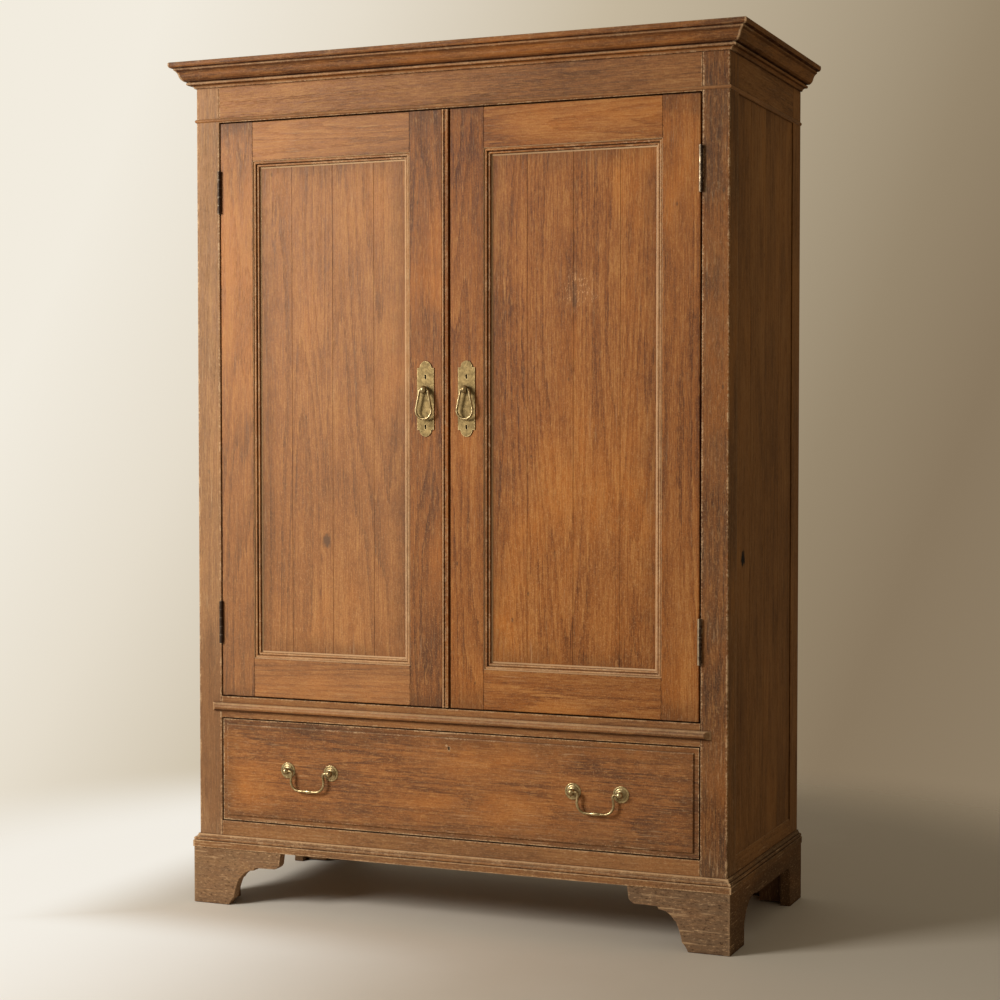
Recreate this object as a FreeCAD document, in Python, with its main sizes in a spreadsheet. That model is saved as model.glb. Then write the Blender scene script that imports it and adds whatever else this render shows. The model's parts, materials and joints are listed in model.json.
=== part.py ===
import FreeCAD, Part
import Sketcher
import math
import os
import re

# Linen press: two panelled doors over one long drawer, on bracket feet.
# Millimetres. X runs to the viewer's right, Y to the back, Z up, floor at zero.

# Driving sizes
SIZES = {
    # Front, from the floor up
    "foot_height": 131,
    "bottom_rail_height": 64,
    "drawer_opening_height": 241.5,
    "waist_rail_height": 49.5,
    "door_opening_height": 1326,
    "frieze_height": 81,
    "cornice_height": 57,
    # Carcase seen from above
    "carcase_width": 1280,
    "carcase_depth": 580,
    "post_width": 60,
    "front_post_depth": 64,
    "rear_post_width": 40,
    "rear_post_depth": 66,
    "arris": 1.5,
    # Rails and the tenons that hold the front ones
    "waist_rail_depth": 46,
    "frieze_lip_thickness": 13.5,
    "side_rail_thickness": 25,
    "side_rail_rise": 4,
    "side_rail_chamfer": 5,
    "back_rail_thickness": 22,
    "back_rail_height": 70,
    "tenon_length": 35,
    "tenon_thickness": 12,
    "tenon_setback": 10,
    "tenon_shoulder": 8,
    # Boards of the sides, back and top
    "side_board_thickness": 16,
    "side_board_recess": 3,
    "board_groove_depth": 8,
    "board_joint": 0.6,
    "back_board_thickness": 12,
    "back_rebate_width": 20,
    "top_board_thickness": 18,
    # Mouldings
    "cornice_projection": 48,
    "plinth_height": 30,
    "plinth_projection": 12,
    "bead_height": 8,
    "bead_radius": 4.2,
    "bead_rise": 2,
    "waist_moulding_height": 18,
    "waist_moulding_projection": 13,
    "waist_moulding_drop": 15,
    "waist_moulding_lap": 24,
    # Feet
    "bracket_thickness": 24,
    "foot_setback": 1.5,
    "front_bracket_length": 230,
    "side_foot_width": 107,
    "side_foot_shin": 46,
    "side_curve_run": 98,
    "side_curve_radius": 82,
    "apron_depth": 39,
    "rear_foot_width": 100,
    "rear_curve_run": 24,
    "rear_curve_drop": 27,
    "rear_curve_radius": 28,
    "rear_bracket_length": 170,
    "rear_bracket_toe": 95,
    "foot_block_width": 55,
    "foot_block_lift": 4,
    # Cupboard
    "floor_thickness": 18,
    "shelf_thickness": 18,
    "bearer_width": 22,
    "bearer_height": 24,
    # Doors
    "door_thickness": 28,
    "door_gap": 3,
    "meeting_gap": 3,
    "door_stop_lip": 12,
    "door_stop_clearance": 0.5,
    "hinge_stile_width": 84,
    "meeting_stile_width": 80,
    "door_rail_height": 89,
    "panel_recess": 13,
    "panel_thickness": 9,
    "panel_groove_depth": 10,
    "panel_clearance": 1,
    "panel_moulding_width": 17,
    "panel_moulding_sink": 1,
    "astragal_setback": 2,
    "astragal_width": 14,
    "astragal_projection": 4,
    # Hinges
    "hinge_length": 98,
    "upper_hinge_inset": 158,
    "lower_hinge_inset": 170,
    "knuckle_radius": 4,
    "knuckle_clearance": 0.4,
    "knuckle_joint": 0.4,
    "hinge_pin_radius": 1.9,
    "hinge_pin_clearance": 0.1,
    "leaf_joint": 0.3,
    "leaf_width": 24,
    # Door pulls
    "plate_width": 40,
    "plate_height": 167,
    "plate_thickness": 2.5,
    "plate_lobe_height": 15,
    "plate_lobe_half": 14,
    "plate_lobe_radius": 14.5,
    "plate_middle_rise": 684.5,
    "plate_slot_width": 4.4,
    "plate_slot_height": 10.5,
    "upper_slot_rise": 48.5,
    "lower_slot_drop": 62,
    "pull_pivot_rise": 20.5,
    "pull_post_radius": 5,
    "pull_ball_radius": 9,
    "pull_ball_half": 6,
    "pull_ball_standoff": 10,
    "drop_length": 65,
    "drop_wire_radius": 2.7,
    "drop_bend_radius": 3.6,
    "drop_round_radius": 18.7,
    "drop_pin_gap": 3,
    # Drawer
    "drawer_gap": 3,
    "drawer_front_thickness": 26,
    "drawer_lip_width": 11,
    "drawer_lip_sink": 2,
    "drawer_field_rise": 2,
    "drawer_field_round": 3.2,
    "drawer_back_space": 80,
    "drawer_side_thickness": 14,
    "drawer_side_drop": 8,
    "dovetail_length": 15,
    "dovetail_width": 27,
    "dovetail_flare": 3.5,
    "drawer_back_thickness": 13,
    "drawer_bottom_thickness": 9,
    "drawer_bottom_lift": 10,
    "drawer_bottom_groove": 6,
    "drawer_running_gap": 0.3,
    "runner_width": 41,
    "runner_height": 22,
    "guide_height": 30,
    "guide_clearance": 0.6,
    "drawer_stop_width": 46,
    "drawer_stop_depth": 24,
    "drawer_stop_height": 7,
    "drawer_stop_clearance": 0.4,
    "drawer_stop_offset": 290,
    "keyhole_width": 3.6,
    "keyhole_height": 8,
    "keyhole_drop": 35,
    "lock_width": 66,
    "lock_height": 48,
    "lock_thickness": 12,
    # Drawer handles
    "handle_offset": 349.4,
    "handle_rise": 128.5,
    "handle_spacing": 110.2,
    "rose_radius": 18.2,
    "rose_height": 5.2,
    "handle_neck_radius": 5.5,
    "handle_ball_radius": 7.8,
    "handle_ball_standoff": 11,
    "bail_pin_gap": 3,
    "bail_shoulder_run": 2.2,
    "bail_neck_radius": 5.2,
    "bail_corner_radius": 22,
    "bail_drop": 44,
    "bail_wire_radius": 2.9,
    "bail_grip_radius": 4.3,
    "bail_grip_half": 20,
    "brass_bore_clearance": 0.1,
    # Every cut runs this far past the face that it leaves
    "overrun": 5,
}

# Degrees that the wire of a drop and of a bail turns at its bends
ANGLES = {"drop_turn": 78, "bail_turn": 98}

# Sizes that follow from the driving ones
DERIVED = {
    "carcase_half": "carcase_width / 2",
    "front_face": "-(carcase_depth - cornice_projection) / 2",
    "back_face": "front_face + carcase_depth",
    "opening_half": "carcase_half - post_width",
    "front_post_back": "front_face + front_post_depth",
    "rear_post_front": "back_face - rear_post_depth",
    "rear_post_inner": "carcase_half - rear_post_width",
    "side_outer": "carcase_half - side_board_recess",
    "side_inner": "side_outer - side_board_thickness",
    "side_rail_inner": "carcase_half - side_rail_thickness",
    "back_inner": "back_face - back_board_thickness",
    "back_half": "rear_post_inner + back_rebate_width",
    "drawer_sill": "foot_height + bottom_rail_height",
    "drawer_head": "drawer_sill + drawer_opening_height",
    "door_sill": "drawer_head + waist_rail_height",
    "door_head": "door_sill + door_opening_height",
    "cornice_foot": "door_head + frieze_height",
    "press_top": "cornice_foot + cornice_height",
    "case_top": "press_top - top_board_thickness",
    "side_rail_top": "drawer_sill + side_rail_rise",
    "tenon_front": "front_face + tenon_setback",
    "foot_outer": "carcase_half + plinth_projection - foot_setback",
    "foot_front": "front_face - plinth_projection + foot_setback",
    "foot_arch": "foot_height - apron_depth",
    "floor_top": "door_sill + floor_thickness",
    "door_back": "front_face + door_thickness",
    "astragal_inner": "-(astragal_setback + astragal_width)",
    "door_stop_face": "door_back + door_stop_clearance",
    "door_foot": "door_sill + door_gap",
    "door_top": "door_head - door_gap",
    "hinge_edge": "opening_half - door_gap",
    "panel_front": "front_face + panel_recess",
    "panel_back": "panel_front + panel_thickness",
    "panel_moulding_height": "panel_recess - panel_moulding_sink",
    "panel_foot": "door_foot + door_rail_height",
    "panel_top": "door_top - door_rail_height",
    "knuckle_standoff": "knuckle_radius + knuckle_clearance",
    "leaf_thickness": "(door_gap - leaf_joint) / 2",
    "knuckle_length": "(hinge_length - 4 * knuckle_joint) / 5",
    "knuckle_step": "knuckle_length + knuckle_joint",
    "pin_across": "opening_half - door_gap / 2",
    "pin_forward": "front_face - knuckle_standoff",
    "knuckle_bore": "hinge_pin_radius + hinge_pin_clearance",
    "plate_middle": "door_foot + plate_middle_rise",
    "drop_leg": "(drop_length - drop_round_radius - drop_bend_radius"
                " + (drop_bend_radius - drop_round_radius) * cos(drop_turn)) / sin(drop_turn)",
    "drop_elbow": "(drop_round_radius - drop_bend_radius) * sin(drop_turn) - drop_leg * cos(drop_turn)",
    "drawer_half": "opening_half - drawer_gap",
    "drawer_foot": "drawer_sill + drawer_gap",
    "drawer_top": "drawer_head - drawer_gap",
    "drawer_field_face": "front_face - drawer_field_rise",
    "drawer_front_back": "front_face + drawer_front_thickness",
    "drawer_side_inner": "drawer_half - drawer_side_thickness",
    "drawer_side_foot": "drawer_sill + drawer_running_gap",
    "drawer_side_top": "drawer_top - drawer_side_drop",
    "drawer_bottom_foot": "drawer_foot + drawer_bottom_lift",
    "drawer_bottom_top": "drawer_bottom_foot + drawer_bottom_thickness",
    "drawer_end": "back_face - drawer_back_space",
    "guide_inner": "drawer_half + guide_clearance",
    "keyhole_middle": "drawer_top - keyhole_drop",
    "handle_height": "drawer_sill + handle_rise",
    "bail_half": "handle_spacing / 2 - bail_pin_gap",
    "bail_shoulder": "handle_spacing / 2 - handle_ball_radius - bail_shoulder_run",
    "bail_leg": "(bail_drop - (bail_neck_radius + bail_corner_radius) * (1 - cos(bail_turn)))"
                " / sin(bail_turn)",
    "bail_neck_across": "bail_shoulder - bail_neck_radius * sin(bail_turn)",
    "bail_neck_fall": "bail_neck_radius * (1 - cos(bail_turn))",
    "bail_knee_across": "bail_neck_across - bail_leg * cos(bail_turn)",
    "bail_knee_fall": "bail_neck_fall + bail_leg * sin(bail_turn)",
    "bail_base_across": "bail_knee_across - bail_corner_radius * sin(bail_turn)",
}

SIDE_BOARD_COUNT = 4
BACK_BOARD_COUNT = 8
TOP_BOARD_COUNT = 4
PANEL_BOARD_COUNT = 4
DOVETAIL_COUNT = 4
SHELF_NAMES = ("shelf_lower", "shelf_middle", "shelf_upper")
SIDES = {"left": -1, "right": 1}

# Outlines as shares of the sizes that they follow. A third share is the radius of the round
# stretch that arrives at the point: plus is a round that stands out, minus a hollow.
CORNICE_SHARES = (
    (0.00, 0.00), (0.08, 0.00), (0.21, 0.12, -0.14), (0.32, 0.12), (0.32, 0.23, 0.06),
    (0.28, 0.23), (0.28, 0.265), (0.44, 0.265), (0.625, 0.475, 0.33), (0.81, 0.70, -0.33),
    (0.81, 0.765), (0.89, 0.765), (1.00, 0.87, 0.13), (1.00, 0.955), (0.95, 1.00, 0.06), (0.00, 1.00),
)
PLINTH_SHARES = (
    (0.00, 0.00), (1.00, 0.00), (1.00, 0.46), (0.94, 0.50, 0.05), (0.66, 0.50), (0.66, 0.76, 0.14),
    (0.42, 0.76), (0.42, 0.84), (0.25, 0.94, -0.12), (0.25, 1.00), (0.00, 1.00),
)
PANEL_MOULDING_SHARES = (
    (0.00, 0.00), (1.00, 0.00), (1.00, 0.20), (0.56, 0.58, -0.42), (0.56, 0.70), (0.45, 0.70),
    (0.10, 1.00, 0.32), (0.00, 1.00),
)
ASTRAGAL_SHARES = (
    (0.00, 0.00), (0.00, 0.25), (0.40, 0.25, 0.21), (0.40, 0.00), (0.50, 0.00), (0.50, 0.30),
    (0.86, 0.30), (1.00, 0.00, 0.12),
)
FRONT_BRACKET_SHARES = (
    (0.00, 0.00), (0.405, 0.00), (0.463, 0.15, -0.36), (0.523, 0.485, -1.40), (0.540, 0.50),
    (0.672, 0.652, -0.30), (0.690, 0.652), (0.704, 0.70), (0.90, 0.708), (0.985, 0.80, 0.14),
    (1.00, 1.00), (0.00, 1.00),
)
# Rose and neck of a handle post: shares of the rose's radius and height
ROSE_SHARES = (
    (0.00, 0.00), (1.00, 0.00), (1.00, 0.20), (0.95, 0.32, 0.07), (0.86, 0.32), (0.86, 0.14),
    (0.76, 0.14), (0.76, 0.40), (0.60, 0.62, 0.20),
)

doc = FreeCAD.newDocument("linen_press")
sheet = doc.addObject("Spreadsheet::Sheet", "Dims")
parts = []


def fill_sheet():
    """Writes the driving numbers and the sizes that follow, one to a row, each with its alias."""
    cells = [(name, str(number)) for name, number in (SIZES | ANGLES).items()]
    cells += [(name, "=" + formula) for name, formula in DERIVED.items()]
    for row, (name, content) in enumerate(cells, start=1):
        sheet.set(f"A{row}", name)
        sheet.set(f"B{row}", content)
        sheet.setAlias(f"B{row}", name)
    doc.recompute()


def linked(expression):
    """The expression with each name in it pointing at its cell."""
    cell_names = SIZES | ANGLES | DERIVED

    def cell(match):
        word = match.group(0)
        return f"Dims.{word}" if word in cell_names else word
    return re.sub(r"[a-z][a-z_]*", cell, expression)


def value(expression):
    return float(sheet.evalExpression(expression))


def bind(thing, prop, expression):
    thing.setExpression(prop, linked(expression))


def sided(side, expression):
    return f"{side} * ({expression})"


def keep(thing, label):
    """Names a finished sub-part and lists it for writing."""
    thing.Label = label
    parts.append(thing)
    return thing


def place(thing, across, forward, rise):
    bind(thing, "Placement.Base.x", across)
    bind(thing, "Placement.Base.y", forward)
    bind(thing, "Placement.Base.z", rise)


def board(name, x, y, z):
    """A sawn board; each of x, y and z is its start and its length."""
    box = doc.addObject("Part::Box", name)
    bind(box, "Length", x[1])
    bind(box, "Width", y[1])
    bind(box, "Height", z[1])
    place(box, x[0], y[0], z[0])
    return box


def group(label, members):
    """Several separate solids that make one sub-part."""
    bundle = doc.addObject("Part::Compound", label)
    bundle.Links = members
    return keep(bundle, label)


def new_body(name):
    return doc.addObject("PartDesign::Body", name)


# Sketches

# Which way along its axis each plane's normal points
PLANE_NORMAL = {"XY_Plane": 1, "XZ_Plane": -1, "YZ_Plane": 1}


def new_sketch(body, plane, lift):
    """A sketch on one of the body's own planes, moved along the plane's axis to lift."""
    sketch = body.newObject("Sketcher::SketchObject", body.Name + "_sketch")
    support = next(item for item in body.Origin.OriginFeatures if item.Role == plane)
    sketch.AttachmentSupport = [(support, "")]
    sketch.MapMode = "FlatFace"
    bind(sketch, "AttachmentOffset.Base.z", f"{PLANE_NORMAL[plane]} * ({lift})")
    return sketch


def round_stretch(start, end, radius, turn):
    """The shorter arc between two points; turn is 1 to the left and -1 to the right."""
    chord = end - start
    reach = math.sqrt(max(radius ** 2 - (chord.Length / 2) ** 2, 0))
    left = FreeCAD.Vector(-chord.y, chord.x, 0).normalize()
    centre = (start + end) / 2 + left * (reach * turn)
    circle = Part.Circle(centre, FreeCAD.Vector(0, 0, 1), radius)
    first, last = (start, end) if turn > 0 else (end, start)
    return Part.ArcOfCircle(circle, circle.parameter(first), circle.parameter(last))


def draw(sketch, corners, closed=True):
    """Straight and round stretches through corners, every corner and radius held by its size.

    A corner is (across, up), or (across, up, radius, turn) where a round stretch arrives at it.
    """
    points = [FreeCAD.Vector(value(corner[0]), value(corner[1]), 0) for corner in corners]
    count = len(corners)
    stretches = []
    ends = []
    for index in range(count if closed else count - 1):
        target = (index + 1) % count
        corner = corners[target]
        if len(corner) == 2:
            stretches.append(Part.LineSegment(points[index], points[target]))
            ends.append((1, 2))
        else:
            radius, turn = value(corner[2]), corner[3]
            stretches.append(round_stretch(points[index], points[target], radius, turn))
            ends.append((1, 2) if turn > 0 else (2, 1))
    sketch.addGeometry(stretches, False)
    rules = []
    sizes = []
    for index in range(len(stretches) if closed else len(stretches) - 1):
        after = (index + 1) % len(stretches)
        rules.append(Sketcher.Constraint("Coincident", index, ends[index][1], after, ends[after][0]))
    for index, corner in enumerate(corners):
        last_open = not closed and index == count - 1
        edge = index - 1 if last_open else index
        end = ends[edge][1] if last_open else ends[edge][0]
        for kind, size, number in (("DistanceX", corner[0], points[index].x),
                                   ("DistanceY", corner[1], points[index].y)):
            sizes.append((len(rules), size))
            rules.append(Sketcher.Constraint(kind, -1, 1, edge, end, number))
    for index in range(len(stretches)):
        corner = corners[(index + 1) % count]
        if len(corner) == 4:
            sizes.append((len(rules), corner[2]))
            rules.append(Sketcher.Constraint("Radius", index, value(corner[2])))
    sketch.addConstraint(rules)
    for index, size in sizes:
        bind(sketch, f"Constraints[{index}]", size)


def draw_circle(sketch, across, up, radius):
    centre = FreeCAD.Vector(value(across), value(up), 0)
    sketch.addGeometry(Part.Circle(centre, FreeCAD.Vector(0, 0, 1), value(radius)), False)
    sketch.addConstraint([
        Sketcher.Constraint("DistanceX", -1, 1, 0, 3, centre.x),
        Sketcher.Constraint("DistanceY", -1, 1, 0, 3, centre.y),
        Sketcher.Constraint("Radius", 0, value(radius)),
    ])
    for index, size in enumerate((across, up, radius)):
        bind(sketch, f"Constraints[{index}]", size)


def rectangle(across, up):
    """Corners of a rectangle from two (start, end) pairs."""
    return [(across[0], up[0]), (across[1], up[0]), (across[1], up[1]), (across[0], up[1])]


def shaped(shares, across, up, radius_size, turn=1, turned=False):
    """Corners of an outline given in shares; across and up are (start, full size).

    turn is -1 where one of the two sizes runs backwards. turned swaps the sketch's axes.
    """
    corners = []
    for share in shares:
        place_across = f"{across[0]} + ({across[1]}) * {share[0]}"
        place_up = f"{up[0]} + ({up[1]}) * {share[1]}"
        corner = (place_up, place_across) if turned else (place_across, place_up)
        if len(share) == 3:
            way = turn if share[2] > 0 else -turn
            corner += (f"({radius_size}) * {abs(share[2])}", -way if turned else way)
        corners.append(corner)
    return corners


# Solid features

def extrude(kind, body, sketch, plane, length):
    feature = body.newObject("PartDesign::" + kind, f"{body.Name}_{kind.lower()}")
    feature.Profile = sketch
    bind(feature, "Length", length)
    along = PLANE_NORMAL[plane] > 0
    feature.Reversed = along if kind == "Pocket" else not along
    return feature


def pad(body, plane, corners, start, length):
    """Adds an outline's prism, from start along the plane's axis."""
    sketch = new_sketch(body, plane, start)
    draw(sketch, corners)
    return extrude("Pad", body, sketch, plane, length)


def cut(body, plane, corners, start, length):
    """Takes an outline's prism away, from start along the plane's axis."""
    sketch = new_sketch(body, plane, start)
    draw(sketch, corners)
    return extrude("Pocket", body, sketch, plane, length)


def pad_round(body, plane, across, up, radius, start, length):
    sketch = new_sketch(body, plane, start)
    draw_circle(sketch, across, up, radius)
    return extrude("Pad", body, sketch, plane, length)


def cut_round(body, plane, across, up, radius, start, length):
    sketch = new_sketch(body, plane, start)
    draw_circle(sketch, across, up, radius)
    return extrude("Pocket", body, sketch, plane, length)


def turn_solid(body, sketch, axis):
    """Revolves a sketch once round its own axis."""
    feature = body.newObject("PartDesign::Revolution", body.Name + "_revolution")
    feature.Profile = sketch
    feature.ReferenceAxis = (sketch, [axis])
    feature.Angle = 360
    return feature


def pipe(body, route, profile):
    feature = body.newObject("PartDesign::AdditivePipe", body.Name + "_pipe")
    feature.Profile = profile
    doc.recompute()
    feature.Spine = (route, [f"Edge{number + 1}" for number in range(len(route.Shape.Edges))])
    return feature


# Carcase posts and rails

# Rails tenoned between the front posts: underside and top
FRONT_RAILS = {
    "frieze_rail": ("door_head", "case_top"),
    "waist_rail": ("drawer_head", "door_sill"),
    "bottom_rail": ("foot_height", "drawer_sill"),
}


def tenon_outline(low, high):
    return rectangle(("tenon_front", "tenon_front + tenon_thickness"),
                     (f"{low} + tenon_shoulder", f"{high} - tenon_shoulder"))


def outward(side, near, length):
    """Start, along X, of a stretch that runs outward from near on one side."""
    return near if side > 0 else f"-({near}) - ({length})"


def front_post(name, side):
    body = new_body(f"front_post_{name}")
    pad(body, "XY_Plane", [
        (sided(side, "opening_half"), "front_face + arris"),
        (sided(side, "opening_half + arris"), "front_face"),
        (sided(side, "carcase_half - arris"), "front_face"),
        (sided(side, "carcase_half"), "front_face + arris"),
        (sided(side, "carcase_half"), "front_post_back"),
        (sided(side, "side_outer"), "front_post_back"),
        (sided(side, "side_outer"), "front_post_back - board_groove_depth"),
        (sided(side, "side_inner"), "front_post_back - board_groove_depth"),
        (sided(side, "side_inner"), "front_post_back"),
        (sided(side, "opening_half"), "front_post_back"),
    ], "foot_height", "case_top - foot_height")
    for low, high in FRONT_RAILS.values():
        cut(body, "YZ_Plane", tenon_outline(low, high),
            outward(side, "opening_half", "tenon_length"), "tenon_length")
    keep(body, f"front_post_{name}")


def rear_post(name, side):
    body = new_body(f"rear_post_{name}")
    pad(body, "XY_Plane", [
        (sided(side, "rear_post_inner"), "rear_post_front"),
        (sided(side, "side_inner"), "rear_post_front"),
        (sided(side, "side_inner"), "rear_post_front + board_groove_depth"),
        (sided(side, "side_outer"), "rear_post_front + board_groove_depth"),
        (sided(side, "side_outer"), "rear_post_front"),
        (sided(side, "carcase_half"), "rear_post_front"),
        (sided(side, "carcase_half"), "back_face"),
        (sided(side, "back_half"), "back_face"),
        (sided(side, "back_half"), "back_inner"),
        (sided(side, "rear_post_inner"), "back_inner"),
    ], "foot_height", "case_top - foot_height")
    keep(body, f"rear_post_{name}")


def front_rail(label, outline):
    """A rail between the front posts, with a tenon at each end."""
    low, high = FRONT_RAILS[label]
    body = new_body(label)
    pad(body, "YZ_Plane", outline, "-opening_half", "2 * opening_half")
    for side in SIDES.values():
        pad(body, "YZ_Plane", tenon_outline(low, high),
            outward(side, "opening_half", "tenon_length"), "tenon_length")
    keep(body, label)


def front_rails():
    frieze_back = "door_stop_face + frieze_lip_thickness"
    front_rail("frieze_rail", [
        ("front_face", "door_head"),
        ("door_stop_face", "door_head"),
        ("door_stop_face", "door_head - door_stop_lip"),
        (frieze_back, "door_head - door_stop_lip"),
        (frieze_back, "case_top"),
        ("front_face", "case_top"),
    ])
    front_rail("waist_rail", rectangle(("front_face", "front_face + waist_rail_depth"),
                                       ("drawer_head", "door_sill")))
    front_rail("bottom_rail", rectangle(("front_face", "front_post_back"),
                                        ("foot_height", "drawer_sill")))


def side_rails(name, side):
    """Top and bottom rail of one side, grooved for the boards, with tongues in the posts."""
    length = "rear_post_front - front_post_back"
    tongue_start = "front_post_back - board_groove_depth"
    tongue_length = f"{length} + 2 * board_groove_depth"
    groove = (sided(side, "side_inner"), sided(side, "side_outer"))
    outer, inner = sided(side, "carcase_half"), sided(side, "side_rail_inner")

    top = new_body(f"side_top_rail_{name}")
    groove_end = "door_head + board_groove_depth"
    pad(top, "XZ_Plane", [
        (outer, "door_head"), (outer, "case_top"), (inner, "case_top"), (inner, "door_head"),
        (groove[0], "door_head"), (groove[0], groove_end), (groove[1], groove_end), (groove[1], "door_head"),
    ], "front_post_back", length)
    pad(top, "XZ_Plane", rectangle(groove, (groove_end, "case_top")), tongue_start, tongue_length)

    bottom = new_body(f"side_bottom_rail_{name}")
    groove_end = "side_rail_top - board_groove_depth"
    pad(bottom, "XZ_Plane", [
        (outer, "foot_height"), (outer, "side_rail_top - side_rail_chamfer"), (groove[1], "side_rail_top"),
        (groove[1], groove_end), (groove[0], groove_end), (groove[0], "side_rail_top"),
        (inner, "side_rail_top"), (inner, "foot_height"),
    ], "front_post_back", length)
    pad(bottom, "XZ_Plane", rectangle(groove, ("foot_height", groove_end)), tongue_start, tongue_length)
    group(f"side_rails_{name}", [top, bottom])


def back_rails():
    forward = ("back_inner - back_rail_thickness", "back_rail_thickness")
    across = ("-rear_post_inner", "2 * rear_post_inner")
    group("back_rails", [
        board("back_top_rail", across, forward, ("case_top - back_rail_height", "back_rail_height")),
        board("back_bottom_rail", across, forward, ("foot_height", "bottom_rail_height")),
    ])


# Boards of the sides, back and top

def split(start, length, count):
    """Start and width of each of count boards side by side, with an open joint between them."""
    width = f"(({length}) - {count - 1} * board_joint) / {count}"
    return [(f"{start} + {index} * ({width} + board_joint)", width) for index in range(count)]


def side_boards(name, side):
    across = (outward(side, "side_inner", "side_board_thickness"), "side_board_thickness")
    rise = ("side_rail_top - board_groove_depth", "door_head - side_rail_top + 2 * board_groove_depth")
    start = "front_post_back - board_groove_depth"
    length = "rear_post_front - front_post_back + 2 * board_groove_depth"
    group(f"side_boards_{name}", [
        board(f"side_board_{name}_{index}", across, forward, rise)
        for index, forward in enumerate(split(start, length, SIDE_BOARD_COUNT))])


def back_boards():
    group("back_boards", [
        board(f"back_board_{index}", across, ("back_inner", "back_board_thickness"),
              ("foot_height", "case_top - foot_height"))
        for index, across in enumerate(split("-back_half", "2 * back_half", BACK_BOARD_COUNT))])


def top_boards():
    group("top_boards", [
        board(f"top_board_{index}", ("-carcase_half", "carcase_width"), forward,
              ("case_top", "top_board_thickness"))
        for index, forward in enumerate(split("front_face", "carcase_depth", TOP_BOARD_COUNT))])


# Mouldings that go round the front and both sides

def mitre_front(body, side, projection, low, height):
    """Cuts one end of a front moulding to 45 degrees at the carcase corner."""
    reach = f"{projection} + overrun"
    cut(body, "XY_Plane", [
        (sided(side, "carcase_half"), "front_face"),
        (sided(side, f"carcase_half + {reach}"), f"front_face - ({reach})"),
        (sided(side, f"carcase_half + {reach}"), "front_face"),
    ], f"{low} - overrun", f"{height} + 2 * overrun")


def mitre_side(body, side, projection, low, height):
    """Cuts the front end of a side moulding to 45 degrees at the carcase corner."""
    reach = f"{projection} + overrun"
    cut(body, "XY_Plane", [
        (sided(side, "carcase_half"), "front_face"),
        (sided(side, f"carcase_half + {reach}"), f"front_face - ({reach})"),
        (sided(side, "carcase_half"), f"front_face - ({reach})"),
    ], f"{low} - overrun", f"{height} + 2 * overrun")


def front_moulding(name, outline, projection, low, height):
    body = new_body(name)
    reach = f"carcase_half + {projection}"
    pad(body, "YZ_Plane", outline, f"-({reach})", f"2 * ({reach})")
    for side in SIDES.values():
        mitre_front(body, side, projection, low, height)
    return body


def side_moulding(name, side, outline, projection, low, height):
    body = new_body(name)
    pad(body, "XZ_Plane", outline, f"front_face - {projection}", f"carcase_depth + {projection}")
    mitre_side(body, side, projection, low, height)
    return body


def wrapped_moulding(stem, shares, projection, low, height):
    """Front length and two returns of a moulding given in shares."""
    front = shaped(shares, ("front_face", f"-{projection}"), (low, height), height, turn=-1)
    keep(front_moulding(f"{stem}_front", front, projection, low, height), f"{stem}_front")
    returns = []
    for name, side in SIDES.items():
        outline = shaped(shares, (sided(side, "carcase_half"), sided(side, projection)),
                         (low, height), height, turn=side)
        returns.append(side_moulding(f"{stem}_return_{name}", side, outline, projection, low, height))
    group(f"{stem}_returns", returns)


def frieze_bead():
    """Half-round bead along the foot of the frieze."""
    low, high = "door_head + bead_rise", "door_head + bead_rise + bead_height"
    front = [("front_face", low), ("front_face", high, "bead_radius", -1)]
    members = [front_moulding("frieze_bead_front", front, "bead_radius", low, "bead_height")]
    for name, side in SIDES.items():
        face = sided(side, "carcase_half")
        outline = [(face, low), (face, high, "bead_radius", side)]
        members.append(side_moulding(f"frieze_bead_{name}", side, outline, "bead_radius", low, "bead_height"))
    group("frieze_bead", members)


def waist_moulding():
    """Rounded nosing planted on the waist rail, with ends returned on the posts."""
    body = new_body("waist_moulding")
    half_height = "waist_moulding_height / 2"
    high = "door_sill - waist_moulding_drop"
    low = f"{high} - waist_moulding_height"
    nose = "front_face - waist_moulding_projection"
    spring = f"{nose} + {half_height}"
    reach = "opening_half + waist_moulding_lap"
    pad(body, "YZ_Plane", [
        ("front_face", low),
        ("front_face", high),
        (spring, high),
        (nose, f"{low} + {half_height}", half_height, 1),
        (spring, low, half_height, 1),
    ], f"-({reach})", f"2 * ({reach})")
    for side in SIDES.values():
        cut(body, "XY_Plane", [
            (sided(side, reach), "front_face"),
            (sided(side, f"{reach} + overrun"), f"{nose} - overrun"),
            (sided(side, f"{reach} - waist_moulding_projection - overrun"), f"{nose} - overrun"),
        ], f"{low} - overrun", "waist_moulding_height + 2 * overrun")
    keep(body, "waist_moulding")


# Feet

def front_bracket(name, side):
    """Front face of a front foot, mitred to the side bracket."""
    body = new_body(f"front_bracket_{name}")
    outline = shaped(FRONT_BRACKET_SHARES, (sided(side, "foot_outer"), sided(-side, "front_bracket_length")),
                     ("0", "foot_height"), "foot_height", turn=-side)
    pad(body, "XZ_Plane", outline, "foot_front", "bracket_thickness")
    inner = "foot_outer - bracket_thickness"
    cut(body, "XY_Plane", [
        (sided(side, "foot_outer"), "foot_front"),
        (sided(side, "foot_outer"), "foot_front + bracket_thickness"),
        (sided(side, inner), "foot_front + bracket_thickness"),
    ], "-overrun", "foot_height + 2 * overrun")
    return body


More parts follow.
